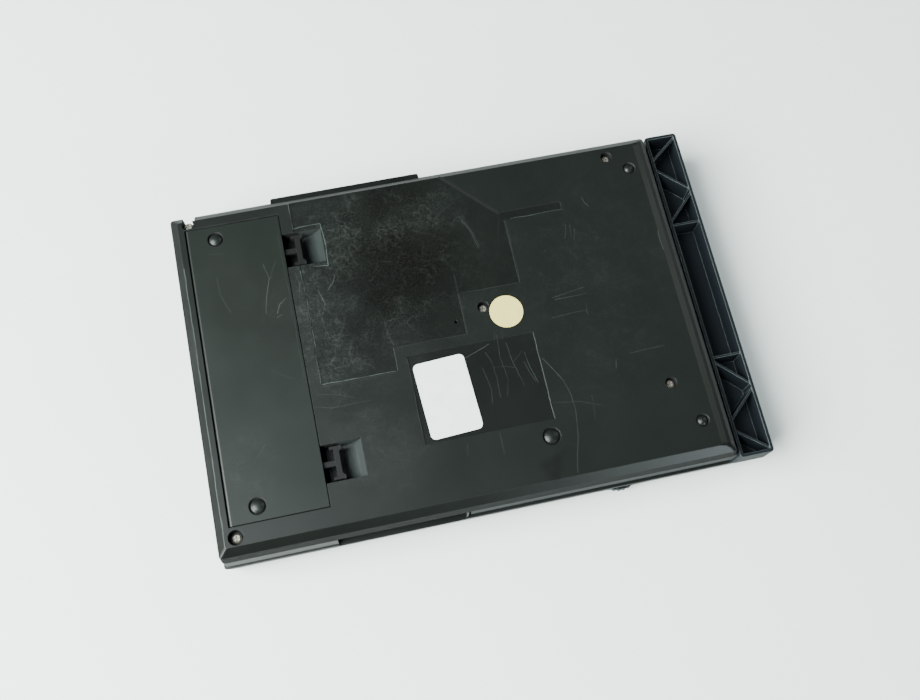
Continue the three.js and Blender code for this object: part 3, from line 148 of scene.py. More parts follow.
def collecting_group(name: str, inputs: dict[str, str]) -> tuple[bpy.types.NodeTree, Graph, Any, Any]:
    """Starts a group that a vector runs through: plan position in X and Y, strongest mask so far in Z.

    One vector through all the marks keeps the shader small, however many there are.

    Args:
        name: name of the group.
        inputs: socket type of each further input by name.

    Returns:
        The group, its graph, the node that holds its inputs, and the socket of the bare plan position.
    """
    group = bpy.data.node_groups.new(name, "ShaderNodeTree")
    g = Graph(group)
    for label, kind in {"Point": "Vector", **inputs}.items():
        group.interface.new_socket(label, in_out="INPUT", socket_type="NodeSocket" + kind)
    group.interface.new_socket("Point", in_out="OUTPUT", socket_type="NodeSocketVector")
    given = g.add("NodeGroupInput")
    flat = g.add("VectorMath", {0: given.outputs[0], 1: (1.0, 1.0, 0.0)}, operation="MULTIPLY").outputs[0]
    return group, g, given, flat


def collect(g: Graph, point: Any, mask: Any) -> None:
    """Ends a collecting group: keeps the stronger of its mask and the one that came in.

    Args:
        g: graph of the group.
        point: socket of the vector that came in.
        mask: socket of the group's own mask.
    """
    parts = g.add("SeparateXYZ", {0: point}).outputs
    stronger = g.add("Math", {0: parts[2], 1: mask}, operation="MAXIMUM").outputs[0]
    joined = g.add("CombineXYZ", {0: parts[0], 1: parts[1], 2: stronger}).outputs[0]
    g.add("NodeGroupOutput", {0: joined})


def stroke_group() -> bpy.types.NodeTree:
    """Builds a group that draws one straight stroke, strongest on its middle line.

    Returns:
        The group.
    """
    inputs = {"A": "Vector", "B": "Vector", "Width": "Float", "Strength": "Float"}
    group, g, given, flat = collecting_group("stroke", inputs)
    point, a, b, width, strength = given.outputs[:5]
    along = g.add("VectorMath", {0: b, 1: a}, operation="SUBTRACT").outputs[0]
    offset = g.add("VectorMath", {0: flat, 1: a}, operation="SUBTRACT").outputs[0]
    reach = g.add("VectorMath", {0: offset, 1: along}, operation="DOT_PRODUCT").outputs["Value"]
    whole = g.add("VectorMath", {0: along, 1: along}, operation="DOT_PRODUCT").outputs["Value"]
    share = g.add("Math", {0: reach, 1: whole}, operation="DIVIDE", use_clamp=True).outputs[0]
    foot = g.add("VectorMath", {0: along, "Scale": share}, operation="SCALE").outputs[0]
    far = g.add("VectorMath", {0: offset, 1: foot}, operation="DISTANCE").outputs["Value"]
    falloff = Ramp(0.0, width, strength, 0.0).of(far)
    mask = g.add("MapRange", falloff, interpolation_type="SMOOTHSTEP")
    collect(g, point, mask.outputs[0])
    return group


def blot_group() -> bpy.types.NodeTree:
    """Builds a group that draws one soft oval.

    Returns:
        The group.
    """
    inputs = {"Centre": "Vector", "Size": "Vector", "Strength": "Float"}
    group, g, given, flat = collecting_group("blot", inputs)
    point, centre, size, strength = given.outputs[:4]
    offset = g.add("VectorMath", {0: flat, 1: centre}, operation="SUBTRACT").outputs[0]
    scaled = g.add("VectorMath", {0: offset, 1: size}, operation="DIVIDE").outputs[0]
    far = g.add("VectorMath", {0: scaled}, operation="LENGTH").outputs["Value"]
    falloff = Ramp(BLOT_CORE, 1.0, strength, 0.0).of(far)
    mask = g.add("MapRange", falloff, interpolation_type="SMOOTHSTEP")
    collect(g, point, mask.outputs[0])
    return group


@dataclass(frozen=True)
class Trace:
    """A scratch, a rubbed line or a dark line on a flat face, as a bent line in plan millimetres.

    Attributes:
        points: corners of the line.
        width: half of its width at the foot, in millimetres.
        strength: how much it shows, from 0 to 1.
    """

    points: tuple[Point, ...]
    width: float
    strength: float


@dataclass(frozen=True)
class Blot:
    """A soft oval patch in plan millimetres.

    Attributes:
        x: middle, lengthwise.
        y: middle, crosswise.
        half_x: half of its length.
        half_y: half of its width.
        strength: how much it shows, from 0 to 1.
    """

    x: float
    y: float
    half_x: float
    half_y: float
    strength: float


class Marks:
    """Draws traces and blots into a material, in plan millimetres on any upward face."""

    # Length of the waves in mm, how many finer ones ride on them, and the full width of the shift in mm
    LINE_WAVES = (11.1, 3.0, 1.2)
    OUTLINE_WAVES = (16.7, 5.0, 26.0)

    stroke: bpy.types.NodeTree | None = None
    blot: bpy.types.NodeTree | None = None

    def __init__(self, g: Graph, where: Any) -> None:
        """Makes the shared groups at the first use, and the wavy plan position.

        Args:
            g: graph of the material.
            where: socket with the position in metres.
        """
        self.g = g
        Marks.stroke = Marks.stroke or stroke_group()
        Marks.blot = Marks.blot or blot_group()
        plan = g.add("VectorMath", {0: where, 1: (1 / MM, 1 / MM, 0.0)}, operation="MULTIPLY").outputs[0]
        shifted = g.add("VectorMath", {0: plan, 1: (PLAN_SHIFT_X, 0.0, 0.0)}, operation="ADD").outputs[0]
        self.point = self.shaken(shifted, *self.LINE_WAVES)
        self.ragged = self.shaken(shifted, *self.OUTLINE_WAVES)

    def shaken(self, plan: Any, wave_mm: float, detail: float, reach_mm: float) -> Any:
        """Shifts the plan position about with a noise, so that drawn lines and outlines wander.

        Args:
            plan: socket of the plan position, in millimetres.
            wave_mm: length of the noise's waves.
            detail: how many finer waves ride on them.
            reach_mm: full width of the shift.

        Returns:
            The socket of the shifted position.
        """
        g = self.g
        inputs = {"Vector": plan, "Scale": 1 / wave_mm, "Detail": detail}
        wave = g.add("TexNoise", inputs, noise_dimensions="2D").outputs[1]
        centred = g.add("VectorMath", {0: wave, 1: (NOISE_MIDDLE,) * 3}, operation="SUBTRACT").outputs[0]
        reach = (reach_mm, reach_mm, 0.0)
        shift = g.add("VectorMath", {0: centred, 1: reach}, operation="MULTIPLY").outputs[0]
        return g.add("VectorMath", {0: plan, 1: shift}, operation="ADD").outputs[0]

    def mask(self, collected: Any) -> Any:
        """Takes the mask out of the vector that ran through the marks."""
        return self.g.add("SeparateXYZ", {0: collected}).outputs[2]

    def traces(self, traces: Sequence[Trace]) -> Any:
        """Draws bent lines.

        Args:
            traces: the lines.

        Returns:
            The socket of their mask.
        """
        point = self.point
        for trace in traces:
            for start, end in zip(trace.points, trace.points[1:]):
                inputs = {0: point, 1: (*start, 0.0), 2: (*end, 0.0), 3: trace.width, 4: trace.strength}
                point = self.g.add("Group", inputs, node_tree=Marks.stroke).outputs[0]
        return self.mask(point)

    def blots(self, blots: Sequence[Blot], ragged: bool = True) -> Any:
        """Draws soft ovals.

        Args:
            blots: the ovals.
            ragged: whether their outline wanders.

        Returns:
            The socket of their mask.
        """
        point = self.ragged if ragged else self.point
        for oval in blots:
            middle, size = (oval.x, oval.y, 0.0), (oval.half_x, oval.half_y, 1.0)
            inputs = {0: point, 1: middle, 2: size, 3: oval.strength}
            point = self.g.add("Group", inputs, node_tree=Marks.blot).outputs[0]
        return self.mask(point)


# Marks of use on the underside, with painted shade and a painted sheen, placed from the photo
DARK_PATCHES = (
    Blot(114, 38, 48, 42, 1.0),
    Blot(120, 78, 26, 18, 0.8),
    Blot(96, 62, 22, 28, 0.35),
    Blot(92, 5, 30, 30, 0.35),
    Blot(120, 12, 30, 26, 0.4),
    Blot(142, 40, 18, 28, 0.35),
    Blot(168, -78, 10, 8, 0.35),
    Blot(74, -25, 22, 14, 0.3),
    Blot(72, -70, 16, 12, 0.2),
)
RUBBED_PATCHES = (
    Blot(100, 40, 90, 90, 0.14),
    Blot(70, 22, 24, 66, 0.34),
    Blot(82, 62, 28, 38, 0.34),
    Blot(76, -8, 26, 22, 0.29),
    Blot(108, 62, 30, 18, 0.29),
    Blot(106, 8, 26, 24, 0.26),
    Blot(134, 70, 34, 24, 0.26),
    Blot(88, 84, 34, 10, 0.26),
    Blot(82, -52, 40, 40, 0.12),
    Blot(210, 20, 80, 100, 0.07),
)
# Painted shade: ovals round the latch slots, the moats of the feet and the screw sinks, whose floors are
# painted near black
SHADED_HOLLOWS = (
    Blot(60.5, 60, 10.5, 16, 1.0),
    Blot(60.5, -55.7, 10.5, 16, 1.0),
    Blot(170.1, -64.5, 9, 9, 1.0),
    Blot(22.5, 73.5, 9, 9, 1.0),
    Blot(22.5, -69.2, 9, 9, 1.0),
    Blot(10, -82, 8, 8, 1.0),
    Blot(236.4, 80.9, 8, 8, 1.0),
    Blot(236.4, -49.8, 8, 8, 1.0),
    Blot(151.6, 9.2, 8, 8, 1.0),
)
# Painted sheen: ovals round each finger scoop, whose floor is painted a lighter grey in place of the room's
# reflection
SCOOP_SHEEN = (Blot(72.5, 60, 15, 30, 1.0), Blot(72.5, -55.7, 15, 30, 1.0))
SCRATCHES = (
    Trace(((4.4, -85), (4.5, 0), (4.4, 60)), 0.35, 0.4),
    Trace(((62.8, 87), (62.9, 71.5), (69, 72.3), (77.4, 72.2)), 0.38, 0.42),
    Trace(((77.6, 72), (78, 60), (77.8, 47.6), (70, 49)), 0.38, 0.42),
    Trace(((63, 47), (63.2, 20), (63.1, -15.3), (80, -15.5), (101, -15.7)), 0.38, 0.42),
    Trace(((101.9, -15.4), (101.9, -4)), 0.28, 0.13),
    Trace(((151, 59.5), (154.4, 52), (156.4, 42)), 0.24, 0.18),
    Trace(((152.3, 58.6), (155.4, 51), (157.2, 43)), 0.22, 0.13),
    Trace(((177, 55.3), (190, 55.2), (204.6, 55.3)), 0.39, 0.32),
    Trace(((173.6, 20), (173.8, 38), (173.9, 54.5)), 0.28, 0.08),
    Trace(((141.5, 19), (158, 18.9), (173, 18.9)), 0.28, 0.13),
    Trace(((217.2, 60), (217.8, 57), (219.5, 54.2)), 0.28, 0.18),
    Trace(((204.6, 46), (202.6, 38.5)), 0.24, 0.13),
    Trace(((206.8, 45), (206, 38.5)), 0.24, 0.13),
    Trace(((208.6, 43), (207.2, 37)), 0.24, 0.14),
    Trace(((188, 7), (196, 8), (205, 9.6)), 0.28, 0.13),
    Trace(((189, 5.8), (206, 5.9)), 0.24, 0.17),
    Trace(((185, -3.6), (203.5, -3.2), (204, -6)), 0.24, 0.14),
    Trace(((204.6, 0.5), (204, -4)), 0.28, 0.13),
    Trace(((175, -24), (178.4, -29.5), (182.6, -37.5)), 0.28, 0.26),
    Trace(((182.6, -37.5), (184.8, -46), (185, -54), (183, -66), (178, -85)), 0.28, 0.14),
    Trace(((175, -48), (188, -50), (201, -55)), 0.28, 0.09),
    Trace(((220, -30.6), (238, -29.7)), 0.24, 0.13),
    Trace(((211.8, -32), (211, -36.8)), 0.32, 0.13),
    Trace(((195, -48), (194, -60)), 0.28, 0.08),
    Trace(((252.3, 33), (252.5, 22)), 0.35, 0.22),
    Trace(((145, -57), (145, -69)), 0.28, 0.13),
    Trace(((128, -60), (127, -66)), 0.28, 0.09),
    Trace(((58, -26), (66, -28.4), (86, -28)), 0.24, 0.11),
    Trace(((60, -20), (70, -22), (78, -25.5)), 0.24, 0.09),
    Trace(((59, 26), (61, 40), (60, 47)), 0.28, 0.11),
    Trace(((70, 35), (72, 27), (70, 22)), 0.42, 0.18),
    Trace(((75, 34), (78, 37), (80, 42)), 0.35, 0.17),
    Trace(((173.8, -10), (173.6, -30), (173.8, -56)), 0.32, 0.26),
    Trace(((107.6, -11), (107.4, -50)), 0.28, 0.12),
    Trace(((135, -16.6), (142, -14), (150, -11)), 0.28, 0.26),
    Trace(((147, -15), (149, -20), (150, -30), (149.5, -40)), 0.24, 0.14),
    Trace(((144, -23), (146, -35), (145, -42)), 0.24, 0.13),
    Trace(((158.6, -12), (160, -24), (163, -36)), 0.24, 0.16),
    Trace(((155, -7), (154, -20), (155.5, -31), (153, -40)), 0.24, 0.14),
    Trace(((167, -19), (167.5, -27), (170, -36)), 0.24, 0.21),
    Trace(((165.4, -24), (166.8, -30), (169, -35)), 0.24, 0.14),
    Trace(((149, -24), (156, -24.5), (160, -26)), 0.24, 0.1),
    Trace(((160, -23), (166, -18)), 0.24, 0.1),
    Trace(((153, -10), (154.4, -5)), 0.24, 0.09),
    Trace(((157.5, -10), (158.4, -5)), 0.24, 0.07),
)
# Painted shade: dark lines along the steps and grooves of the underside and along the battery door's gap
PAINTED_SHADE_LINES = (
    Trace(((7.4, 81.4), (57, 81.4)), 0.5, 0.9),
    Trace(((144.6, 86.4), (157.8, 73), (171, 59.6)), 1.1, 0.95),
    Trace(((170.6, 59.8), (188, 59.8), (205, 59.7)), 0.48, 0.47),
    Trace(((170.8, 59.4), (170, 54), (168, 47)), 0.4, 0.39),
    Trace(((140.6, 30), (140.8, 10), (140.4, -3.4)), 0.56, 0.62),
    Trace(((140.4, -3.6), (120, -3.4), (102.4, -3.6)), 0.48, 0.55),
    Trace(((103.5, -61.4), (105.5, -58.6), (108.6, -56.4)), 0.44, 0.7),
    Trace(((62.6, -16.5), (101, -16.5)), 0.4, 0.47),
    Trace(((81, -43), (84, -43.4), (88, -45)), 0.48, 0.39),
    Trace(((101, -62), (103, -60)), 0.32, 0.31),
    Trace(((137, 79), (141, 82), (146, 83)), 0.48, 0.23),
)
# Marks of use on the battery door, and the painted shade along its gap, placed from the photo
DOOR_SCRATCHES = (
    Trace(((44.8, 54.6), (46.4, 46), (43.6, 37), (42, 27.4)), 0.27, 0.22),
    Trace(((51.4, 56), (48.6, 50.5), (47, 46)), 0.24, 0.14),
    Trace(((53, 34), (49.6, 31.2), (47.4, 26.4)), 0.3, 0.27),
    Trace(((46.8, 24.4), (50, 25.4)), 0.24, 0.22),
    Trace(((20.4, 52), (20.6, 42), (24.6, 32)), 0.27, 0.11),
    Trace(((18, 65.6), (26, 64.4)), 0.24, 0.06),
    Trace(((26, -46), (31, -39.6)), 0.24, 0.11),
    Trace(((15, -50), (22, -48.6)), 0.24, 0.06),
    Trace(((40, -3), (50, -9.6)), 0.3, 0.06),
    Trace(((54.6, 70), (55.2, 20), (55, -10)), 0.3, 0.05),
)
# Painted shade: dark lines along the battery door's gap
DOOR_GAP_SHADE = (Trace(((7.4, 81.2), (57, 81.2)), 0.5, 0.9), Trace(((30, 80), (44, 79.6)), 0.6, 0.15))
DOOR_PATCHES = (Blot(44, 20, 14, 60, 0.18), Blot(24, 30, 14, 40, 0.1))
DOOR_RUBBED = (Blot(20, -50, 20, 34, 0.12), Blot(46, 30, 10, 18, 0.1))


@dataclass(frozen=True)
class WearAndPaintedLight:
    """Marks of use and dirt on the upward faces of the underside, with painted shade in its steps, gaps and
    wells and a painted sheen on the floor of each finger scoop.

    Attributes:
        light_marks: rubbed lines.
        shade_lines: painted shade, as dark lines along the steps, the grooves and the door's gap.
        dirt: dark patches.
        rubbed: patches where the skin is rubbed light and rough.
        sheened_scoops: ovals round each finger scoop, whose floor gets a painted sheen of lighter grey.
        shaded_hollows: ovals round the wells and latches, whose floors get painted shade.
        dust: sRGB hex colour of rubbed lines.
        rubbed_colour: sRGB hex colour of rubbed skin.
        dirt_colour: sRGB hex colour of old grease.
        sunk_colour: sRGB hex colour that the panel and the label bed lean to.
        line_shade_colour: sRGB hex colour of the painted shade in the steps, the grooves and the door's
            gap.
        scoop_sheen_colour: sRGB hex colour of the painted sheen on the floor of each finger scoop.
        hollow_shade_colour: sRGB hex colour of the painted shade on the floors of the wells.
        cloud_mm: size of the clouds that break up the marks.
        grit_mm: size of the grit in rubbed skin, drawn coarser than the real dust so that it shows.
        creases_mm: spacing of the wide and of the narrow creases in rubbed skin.
        crease_shares: how much the wide and the narrow creases show.
    """

    # Stretches of the noises into how much of a mark is there
    GRIT = Ramp(0.42, 0.7, 0.1, 0.9)
    HAZE = Ramp(0.4, 0.64, 0.3, 1.0)
    BLOTCHES = Ramp(0.2, 0.62, 0.25, 1.0)
    BREAKS = Ramp(0.36, 0.55, 0.35, 1.0)
    CREASE = Ramp(0.0, 0.03, 1.0, 0.0)
    # Recessed faces by how near they are to the flat, and floors by the strength of the ovals round them
    SUNK = Ramp(0.0, 1.0, 0.3, 0.0)
    # Painted sheen on each finger scoop floor, by the strength of the ovals round it
    SCOOP_SHEEN_FLOOR = Ramp(0.3, 0.6)
    # Painted shade on the well floors, by the strength of the ovals round them
    WELL_SHADE = Ramp(0.1, 0.35)

    light_marks: tuple[Trace, ...]
    shade_lines: tuple[Trace, ...]
    dirt: tuple[Blot, ...]
    rubbed: tuple[Blot, ...]
    sheened_scoops: tuple[Blot, ...]
    shaded_hollows: tuple[Blot, ...]
    dust: str = "#5d6663"
    rubbed_colour: str = "#383d39"
    dirt_colour: str = "#060504"
    sunk_colour: str = "#040403"
    line_shade_colour: str = "#020303"
    scoop_sheen_colour: str = "#202524"
    hollow_shade_colour: str = "#010101"
    cloud_mm: float = 9.091
    grit_mm: float = 0.9091
    creases_mm: tuple[float, float] = (11.1, 4.17)
    crease_shares: tuple[float, float] = (0.7, 0.5)

    def above(self, g: Graph, where: Any, depths: tuple[float, float]) -> Any:
        """Finds the faces near the flat of the underside.

        Args:
            g: graph of the material.
            where: socket with the position in metres.
            depths: depths under the flat, in millimetres, at which the mask is 0 and 1.

        Returns:
            The socket of the mask.
        """
        level = g.add("SeparateXYZ", {0: where}).outputs[2]
        low, high = ((UNDERSIDE_Z - depth) * MM for depth in depths)
        return g.add("MapRange", Ramp(low, high).of(level)).outputs[0]

    def creases(self, g: Graph, where: Any, spacing_mm: float) -> Any:
        """Draws thin crossing creases along the level lines of a noise.

        Args:
            g: graph of the material.
            where: socket with the position in metres.
            spacing_mm: spacing of the creases.

        Returns:
            The socket of their mask.
        """
        inputs = {"Vector": where, "Scale": 1 / (spacing_mm * MM), "Detail": 2.0, "Distortion": 0.4}
        noise = g.add("TexNoise", inputs).outputs[0]
        offset = g.add("Math", {0: noise, 1: NOISE_MIDDLE}, operation="SUBTRACT").outputs[0]
        distance = g.add("Math", {0: offset}, operation="ABSOLUTE").outputs[0]
        return g.add("MapRange", self.CREASE.of(distance)).outputs[0]

    def rubbing(self, g: Graph, where: Any, marks: Marks, cloud: Any) -> Any:
        """Breaks the rubbed patches up into grit and fine crossing creases.

        Args:
            g: graph of the material.
            where: socket with the position in metres.
            marks: drawer of the patches.
            cloud: socket of the coarse noise.

        Returns:
            The socket of their mask.
        """
        grit = {"Vector": where, "Scale": 1 / (self.grit_mm * MM), "Detail": 2.0}
        speckle = g.add("TexNoise", grit).outputs[0]
        dusty = g.add("MapRange", self.GRIT.of(speckle)).outputs[0]
        for spacing_mm, share in zip(self.creases_mm, self.crease_shares):
            lines = self.creases(g, where, spacing_mm)
            dusty = g.add("Math", {0: lines, 1: share, 2: dusty}, operation="MULTIPLY_ADD").outputs[0]
        haze = g.add("MapRange", self.HAZE.of(cloud)).outputs[0]
        dusty = g.add("Math", {0: dusty, 1: haze}, operation="MULTIPLY").outputs[0]
        patches = marks.blots(self.rubbed)
        rubbed = g.add("Math", {0: patches, 1: dusty}, operation="MULTIPLY", use_clamp=True).outputs[0]
        top = self.above(g, where, BEVEL_DEPTHS)
        return g.add("Math", {0: rubbed, 1: top}, operation="MULTIPLY").outputs[0]

    def in_hollow(self, g: Graph, where: Any, ovals: Any, floor: Ramp) -> Any:
        """Keeps of some ovals only what lies deeper than the flat.

        Args:
            g: graph of the material.
            where: socket with the position in metres.
            ovals: socket of the ovals' mask.
            floor: stretch of that mask, which is 0 at the edge of the floor.

        Returns:
            The socket of the floor's mask.
        """
        basin = g.add("MapRange", floor.of(ovals)).outputs[0]
        flat = self.above(g, where, WELL_DEPTHS)
        deep = g.add("Math", {0: 1.0, 1: flat}, operation="SUBTRACT").outputs[0]
        return g.add("Math", {0: basin, 1: deep}, operation="MULTIPLY").outputs[0]

    def lay(self, g: Graph, where: Any, colour: Any, rough: Any) -> tuple[Any, Any]:
        """Lays the marks of use, the painted shade and the painted sheen over the clean skin.

        Args:
            g: graph of the material.
            where: socket with the position in metres.
            colour: socket of the clean colour.
            rough: socket of the clean roughness.

        Returns:
            The sockets of the worn colour and roughness.
        """
        marks = Marks(g, where)
        coarse = {"Vector": where, "Scale": 1 / (self.cloud_mm * MM), "Detail": 6.0, "Roughness": 0.72}
        cloud = g.add("TexNoise", coarse).outputs[0]
        raised = self.above(g, where, RECESS_DEPTHS)
        sunk = g.add("MapRange", self.SUNK.of(raised)).outputs[0]
        blotchy = g.add("MapRange", self.BLOTCHES.of(cloud)).outputs[0]
        dirt = g.add("Math", {0: marks.blots(self.dirt), 1: blotchy}, operation="MULTIPLY").outputs[0]
        rubbed = self.rubbing(g, where, marks, cloud)
        line_shade = marks.traces(self.shade_lines)
        broken = g.add("MapRange", self.BREAKS.of(cloud)).outputs[0]
        lines = marks.traces(self.light_marks)
        scratch = g.add("Math", {0: lines, 1: broken}, operation="MULTIPLY").outputs[0]
        sheened_scoops = self.in_hollow(g, where, marks.blots(self.sheened_scoops, ragged=False), self.SCOOP_SHEEN_FLOOR)
        shaded_hollows = self.in_hollow(g, where, marks.blots(self.shaded_hollows, ragged=False), self.WELL_SHADE)
        # Mask, colour and added roughness of each layer: grease shines, rubbed skin and the painted shade
        # of the steps and wells don't
        layers = (
            (sunk, self.sunk_colour, -0.1),
            (dirt, self.dirt_colour, -0.1),
            (rubbed, self.rubbed_colour, 0.2),
            # Painted shade along the steps, the grooves and the door's gap
            (line_shade, self.line_shade_colour, 0.5),
            (scratch, self.dust, 0.0),
            # Painted sheen on the finger scoop floors
            (sheened_scoops, self.scoop_sheen_colour, 0.0),
            # Painted shade on the floors of the wells, the moats and the latch slots
            (shaded_hollows, self.hollow_shade_colour, 0.2),
        )
        for mask, tint, roughening in layers:
            tints = {0: mask, COLOUR_A: colour, COLOUR_B: linear(tint)}
            colour = g.add("Mix", tints, data_type="RGBA").outputs[COLOUR_OUT]
            rough = g.add("Math", {0: mask, 1: roughening, 2: rough}, operation="MULTIPLY_ADD").outputs[0]
        return colour, rough


@dataclass(frozen=True)
class Plastic:
    """Moulded ABS plastic: a satin skin with a fine spark-eroded grain that breaks up reflections.

    Attributes:
        name: name of the material.
        colour: sRGB hex colour of the plastic.
        highlight_and_wear_colour: sRGB hex colour of light edges: rubbed, and on the handle plastic also a
            painted highlight.
        roughness: microfacet roughness of the clean skin.
        spread: what the shiniest and the dullest patches of the skin add to that roughness.
        patch_mm: size of those patches.
        ior: index of refraction of ABS.
        shine: strength of the reflection, with 0.5 for the full one of a smooth skin.
        grain_mm: size of the moulded grain, drawn coarser than the real tenth of a millimetre to show.
        grain_depth: strength of the grain, from 0 to 1.
        relief_mm: height of the grain.
        edge_mm: radius that the light sees on the edges.
        edge_wear: how much the edges are painted light, from 0 to 1: rubbing, and on the handle plastic
            also a painted highlight.
        side_grain: roughness added on the upright faces, whose grain is coarser.
        lean: how far that grain turns the shine of an upright face upwards.
        wear_and_painted_light: marks of use, painted shade and painted sheen on the upward faces.
    """

    name: str
    colour: str
    highlight_and_wear_colour: str = "#5d6663"
    roughness: float = 0.33
    spread: tuple[float, float] = (-0.03, 0.05)
    patch_mm: float = 35.714
    ior: float = 1.53
    shine: float = 0.22
    grain_mm: float = 0.35
    grain_depth: float = 0.12
    relief_mm: float = 0.05
    edge_mm: float = 0.3
    edge_wear: float = 0.12
    side_grain: float = 0.3
    lean: float = 0.8
    wear_and_painted_light: WearAndPaintedLight | None = None

    # Edges by how far their rounded normal bends, and patches and steep faces by their noise and slope
    EDGE_BEND = (0.995, 0.9)
    PATCHES = (0.3, 0.7)
    STEEP = (0.62, 0.2)

    def colours(self, g: Graph, patches: Any, soft_edge: Any, true_normal: Any) -> Any:
        """Paints the edges light, unevenly: rubbed, and on the handle plastic also a painted highlight.

        Args:
            g: graph of the material.
            patches: socket of a soft noise.
            soft_edge: socket of the normal with rounded edges.
            true_normal: socket of the normal of the face.

        Returns:
            The socket of the colour.
        """
        bend = g.add("VectorMath", {0: soft_edge, 1: true_normal}, operation="DOT_PRODUCT").outputs["Value"]
        edge = g.add("MapRange", Ramp(*self.EDGE_BEND, 0.0, self.edge_wear).of(bend)).outputs[0]
        ragged = g.add("Math", {0: edge, 1: patches}, operation="MULTIPLY").outputs[0]
        tints = {0: ragged, COLOUR_A: linear(self.colour), COLOUR_B: linear(self.highlight_and_wear_colour)}
        return g.add("Mix", tints, data_type="RGBA").outputs[COLOUR_OUT]

    def leaning(self, g: Graph, soft_edge: Any, upward: Any) -> Any:
        """Turns the shine of the upright faces upwards, as their coarse grain does.

        Args:
            g: graph of the material.
            soft_edge: socket of the normal with rounded edges.
            upward: socket of the height of the face's normal.

        Returns:
            The socket of the turned normal.
        """
        lift = g.add("MapRange", Ramp(0.0, 1.0, self.lean, 0.0).of(upward)).outputs[0]
        up = g.add("CombineXYZ", {2: lift}).outputs[0]
        tilted = g.add("VectorMath", {0: soft_edge, 1: up}, operation="ADD").outputs[0]
        return g.add("VectorMath", {0: tilted}, operation="NORMALIZE").outputs[0]

    def make(self) -> bpy.types.Material:
        """Builds the material.

        Returns:
            The finished material.
        """
        material, g = material_graph(self.name)
        where = g.add("TexCoord").outputs["Object"]
        wide = {"Vector": where, "Scale": 1 / (self.patch_mm * MM), "Detail": 4.0}
        patches = g.add("TexNoise", wide).outputs[0]
        fine = {"Vector": where, "Scale": 1 / (self.grain_mm * MM), "Detail": 1.0}
        grain = g.add("TexNoise", fine).outputs[0]
        soft_edge = g.add("Bevel", {"Radius": self.edge_mm * MM}, samples=4).outputs[0]
        true_normal = g.add("NewGeometry").outputs["Normal"]
        upward = g.add("SeparateXYZ", {0: true_normal}).outputs[2]
        colour = self.colours(g, patches, soft_edge, true_normal)
        low, high = (self.roughness + stray for stray in self.spread)
        rough = g.add("MapRange", Ramp(*self.PATCHES, low, high).of(patches)).outputs[0]
        steep = g.add("MapRange", Ramp(*self.STEEP, 0.0, self.side_grain).of(upward)).outputs[0]
        rough = g.add("Math", {0: rough, 1: steep}, operation="ADD").outputs[0]
        if self.wear_and_painted_light:
            colour, rough = self.wear_and_painted_light.lay(g, where, colour, rough)
        normal = self.leaning(g, soft_edge, upward)
        relief = {"Strength": self.grain_depth, "Distance": self.relief_mm * MM, "Height": grain}
        bump = g.add("Bump", {**relief, "Normal": normal}).outputs[0]
        skin = {"Base Color": colour, "Roughness": rough, "IOR": self.ior, "Specular IOR Level": self.shine}
        g.add("OutputMaterial", {"Surface": g.add("BsdfPrincipled", {**skin, "Normal": bump}).outputs[0]})
        return material


@dataclass(frozen=True)
class Metal:
    """Bare or plated metal with dull spots.

    Attributes:
        name: name of the material.
        colour: sRGB hex colour of the reflection.
        roughness: microfacet roughness.
        tarnish: sRGB hex colour of the dull spots.
        dulling: roughness added where a spot is whole.
        spot_mm: size of the spots.
    """

    SPOTS = Ramp(0.5, 0.75, 0.0, 0.5)

    name: str
    colour: str
    roughness: float = 0.3
    tarnish: str = "#6d675c"
    dulling: float = 0.4
    spot_mm: float = 1.2

    def make(self) -> bpy.types.Material:
        """Builds the material.

        Returns:
            The finished material.
        """
        material, g = material_graph(self.name)
        where = g.add("TexCoord").outputs["Object"]
        cloud = {"Vector": where, "Scale": 1 / (self.spot_mm * MM), "Detail": 3.0}
        spots = g.add("TexNoise", cloud).outputs[0]
        dull = g.add("MapRange", self.SPOTS.of(spots)).outputs[0]
        tints = {0: dull, COLOUR_A: linear(self.colour), COLOUR_B: linear(self.tarnish)}
        colour = g.add("Mix", tints, data_type="RGBA").outputs[COLOUR_OUT]
        blend = {0: dull, 1: self.dulling, 2: self.roughness}
        rough = g.add("Math", blend, operation="MULTIPLY_ADD").outputs[0]
        skin = g.add("BsdfPrincipled", {"Base Color": colour, "Roughness": rough, "Metallic": 1.0})
        g.add("OutputMaterial", {"Surface": skin.outputs[0]})
        return material


@dataclass(frozen=True)
class Sheet:
    """Paper, film, rubber, nylon, laminate or lacquer: a plain dull surface with a faint mottle.

    Attributes:
        name: name of the material.
        colour: sRGB hex colour.
        mottle: sRGB hex colour of the faint spots.
        roughness: microfacet roughness.
        ior: index of refraction, which lies near this value for all of them.
        spot_mm: size of the spots.
        clear: how much light passes straight through, from 0 to 1.
    """

    SPOTS = Ramp(0.45, 0.75, 0.0, 0.6)

    name: str
    colour: str
    mottle: str
    roughness: float = 0.6
    ior: float = 1.5
    spot_mm: float = 6.0
    clear: float = 0.0

    def make(self) -> bpy.types.Material:
        """Builds the material.

        Returns:
            The finished material.
        """
        material, g = material_graph(self.name)
        where = g.add("TexCoord").outputs["Object"]
        cloud = {"Vector": where, "Scale": 1 / (self.spot_mm * MM), "Detail": 5.0}
        spots = g.add("TexNoise", cloud).outputs[0]
        faint = g.add("MapRange", self.SPOTS.of(spots)).outputs[0]
        tints = {0: faint, COLOUR_A: linear(self.colour), COLOUR_B: linear(self.mottle)}
        colour = g.add("Mix", tints, data_type="RGBA").outputs[COLOUR_OUT]
        skin = {"Base Color": colour, "Roughness": self.roughness, "IOR": self.ior}
        made = g.add("BsdfPrincipled", {**skin, "Transmission Weight": self.clear})
        g.add("OutputMaterial", {"Surface": made.outputs[0]})
        return material


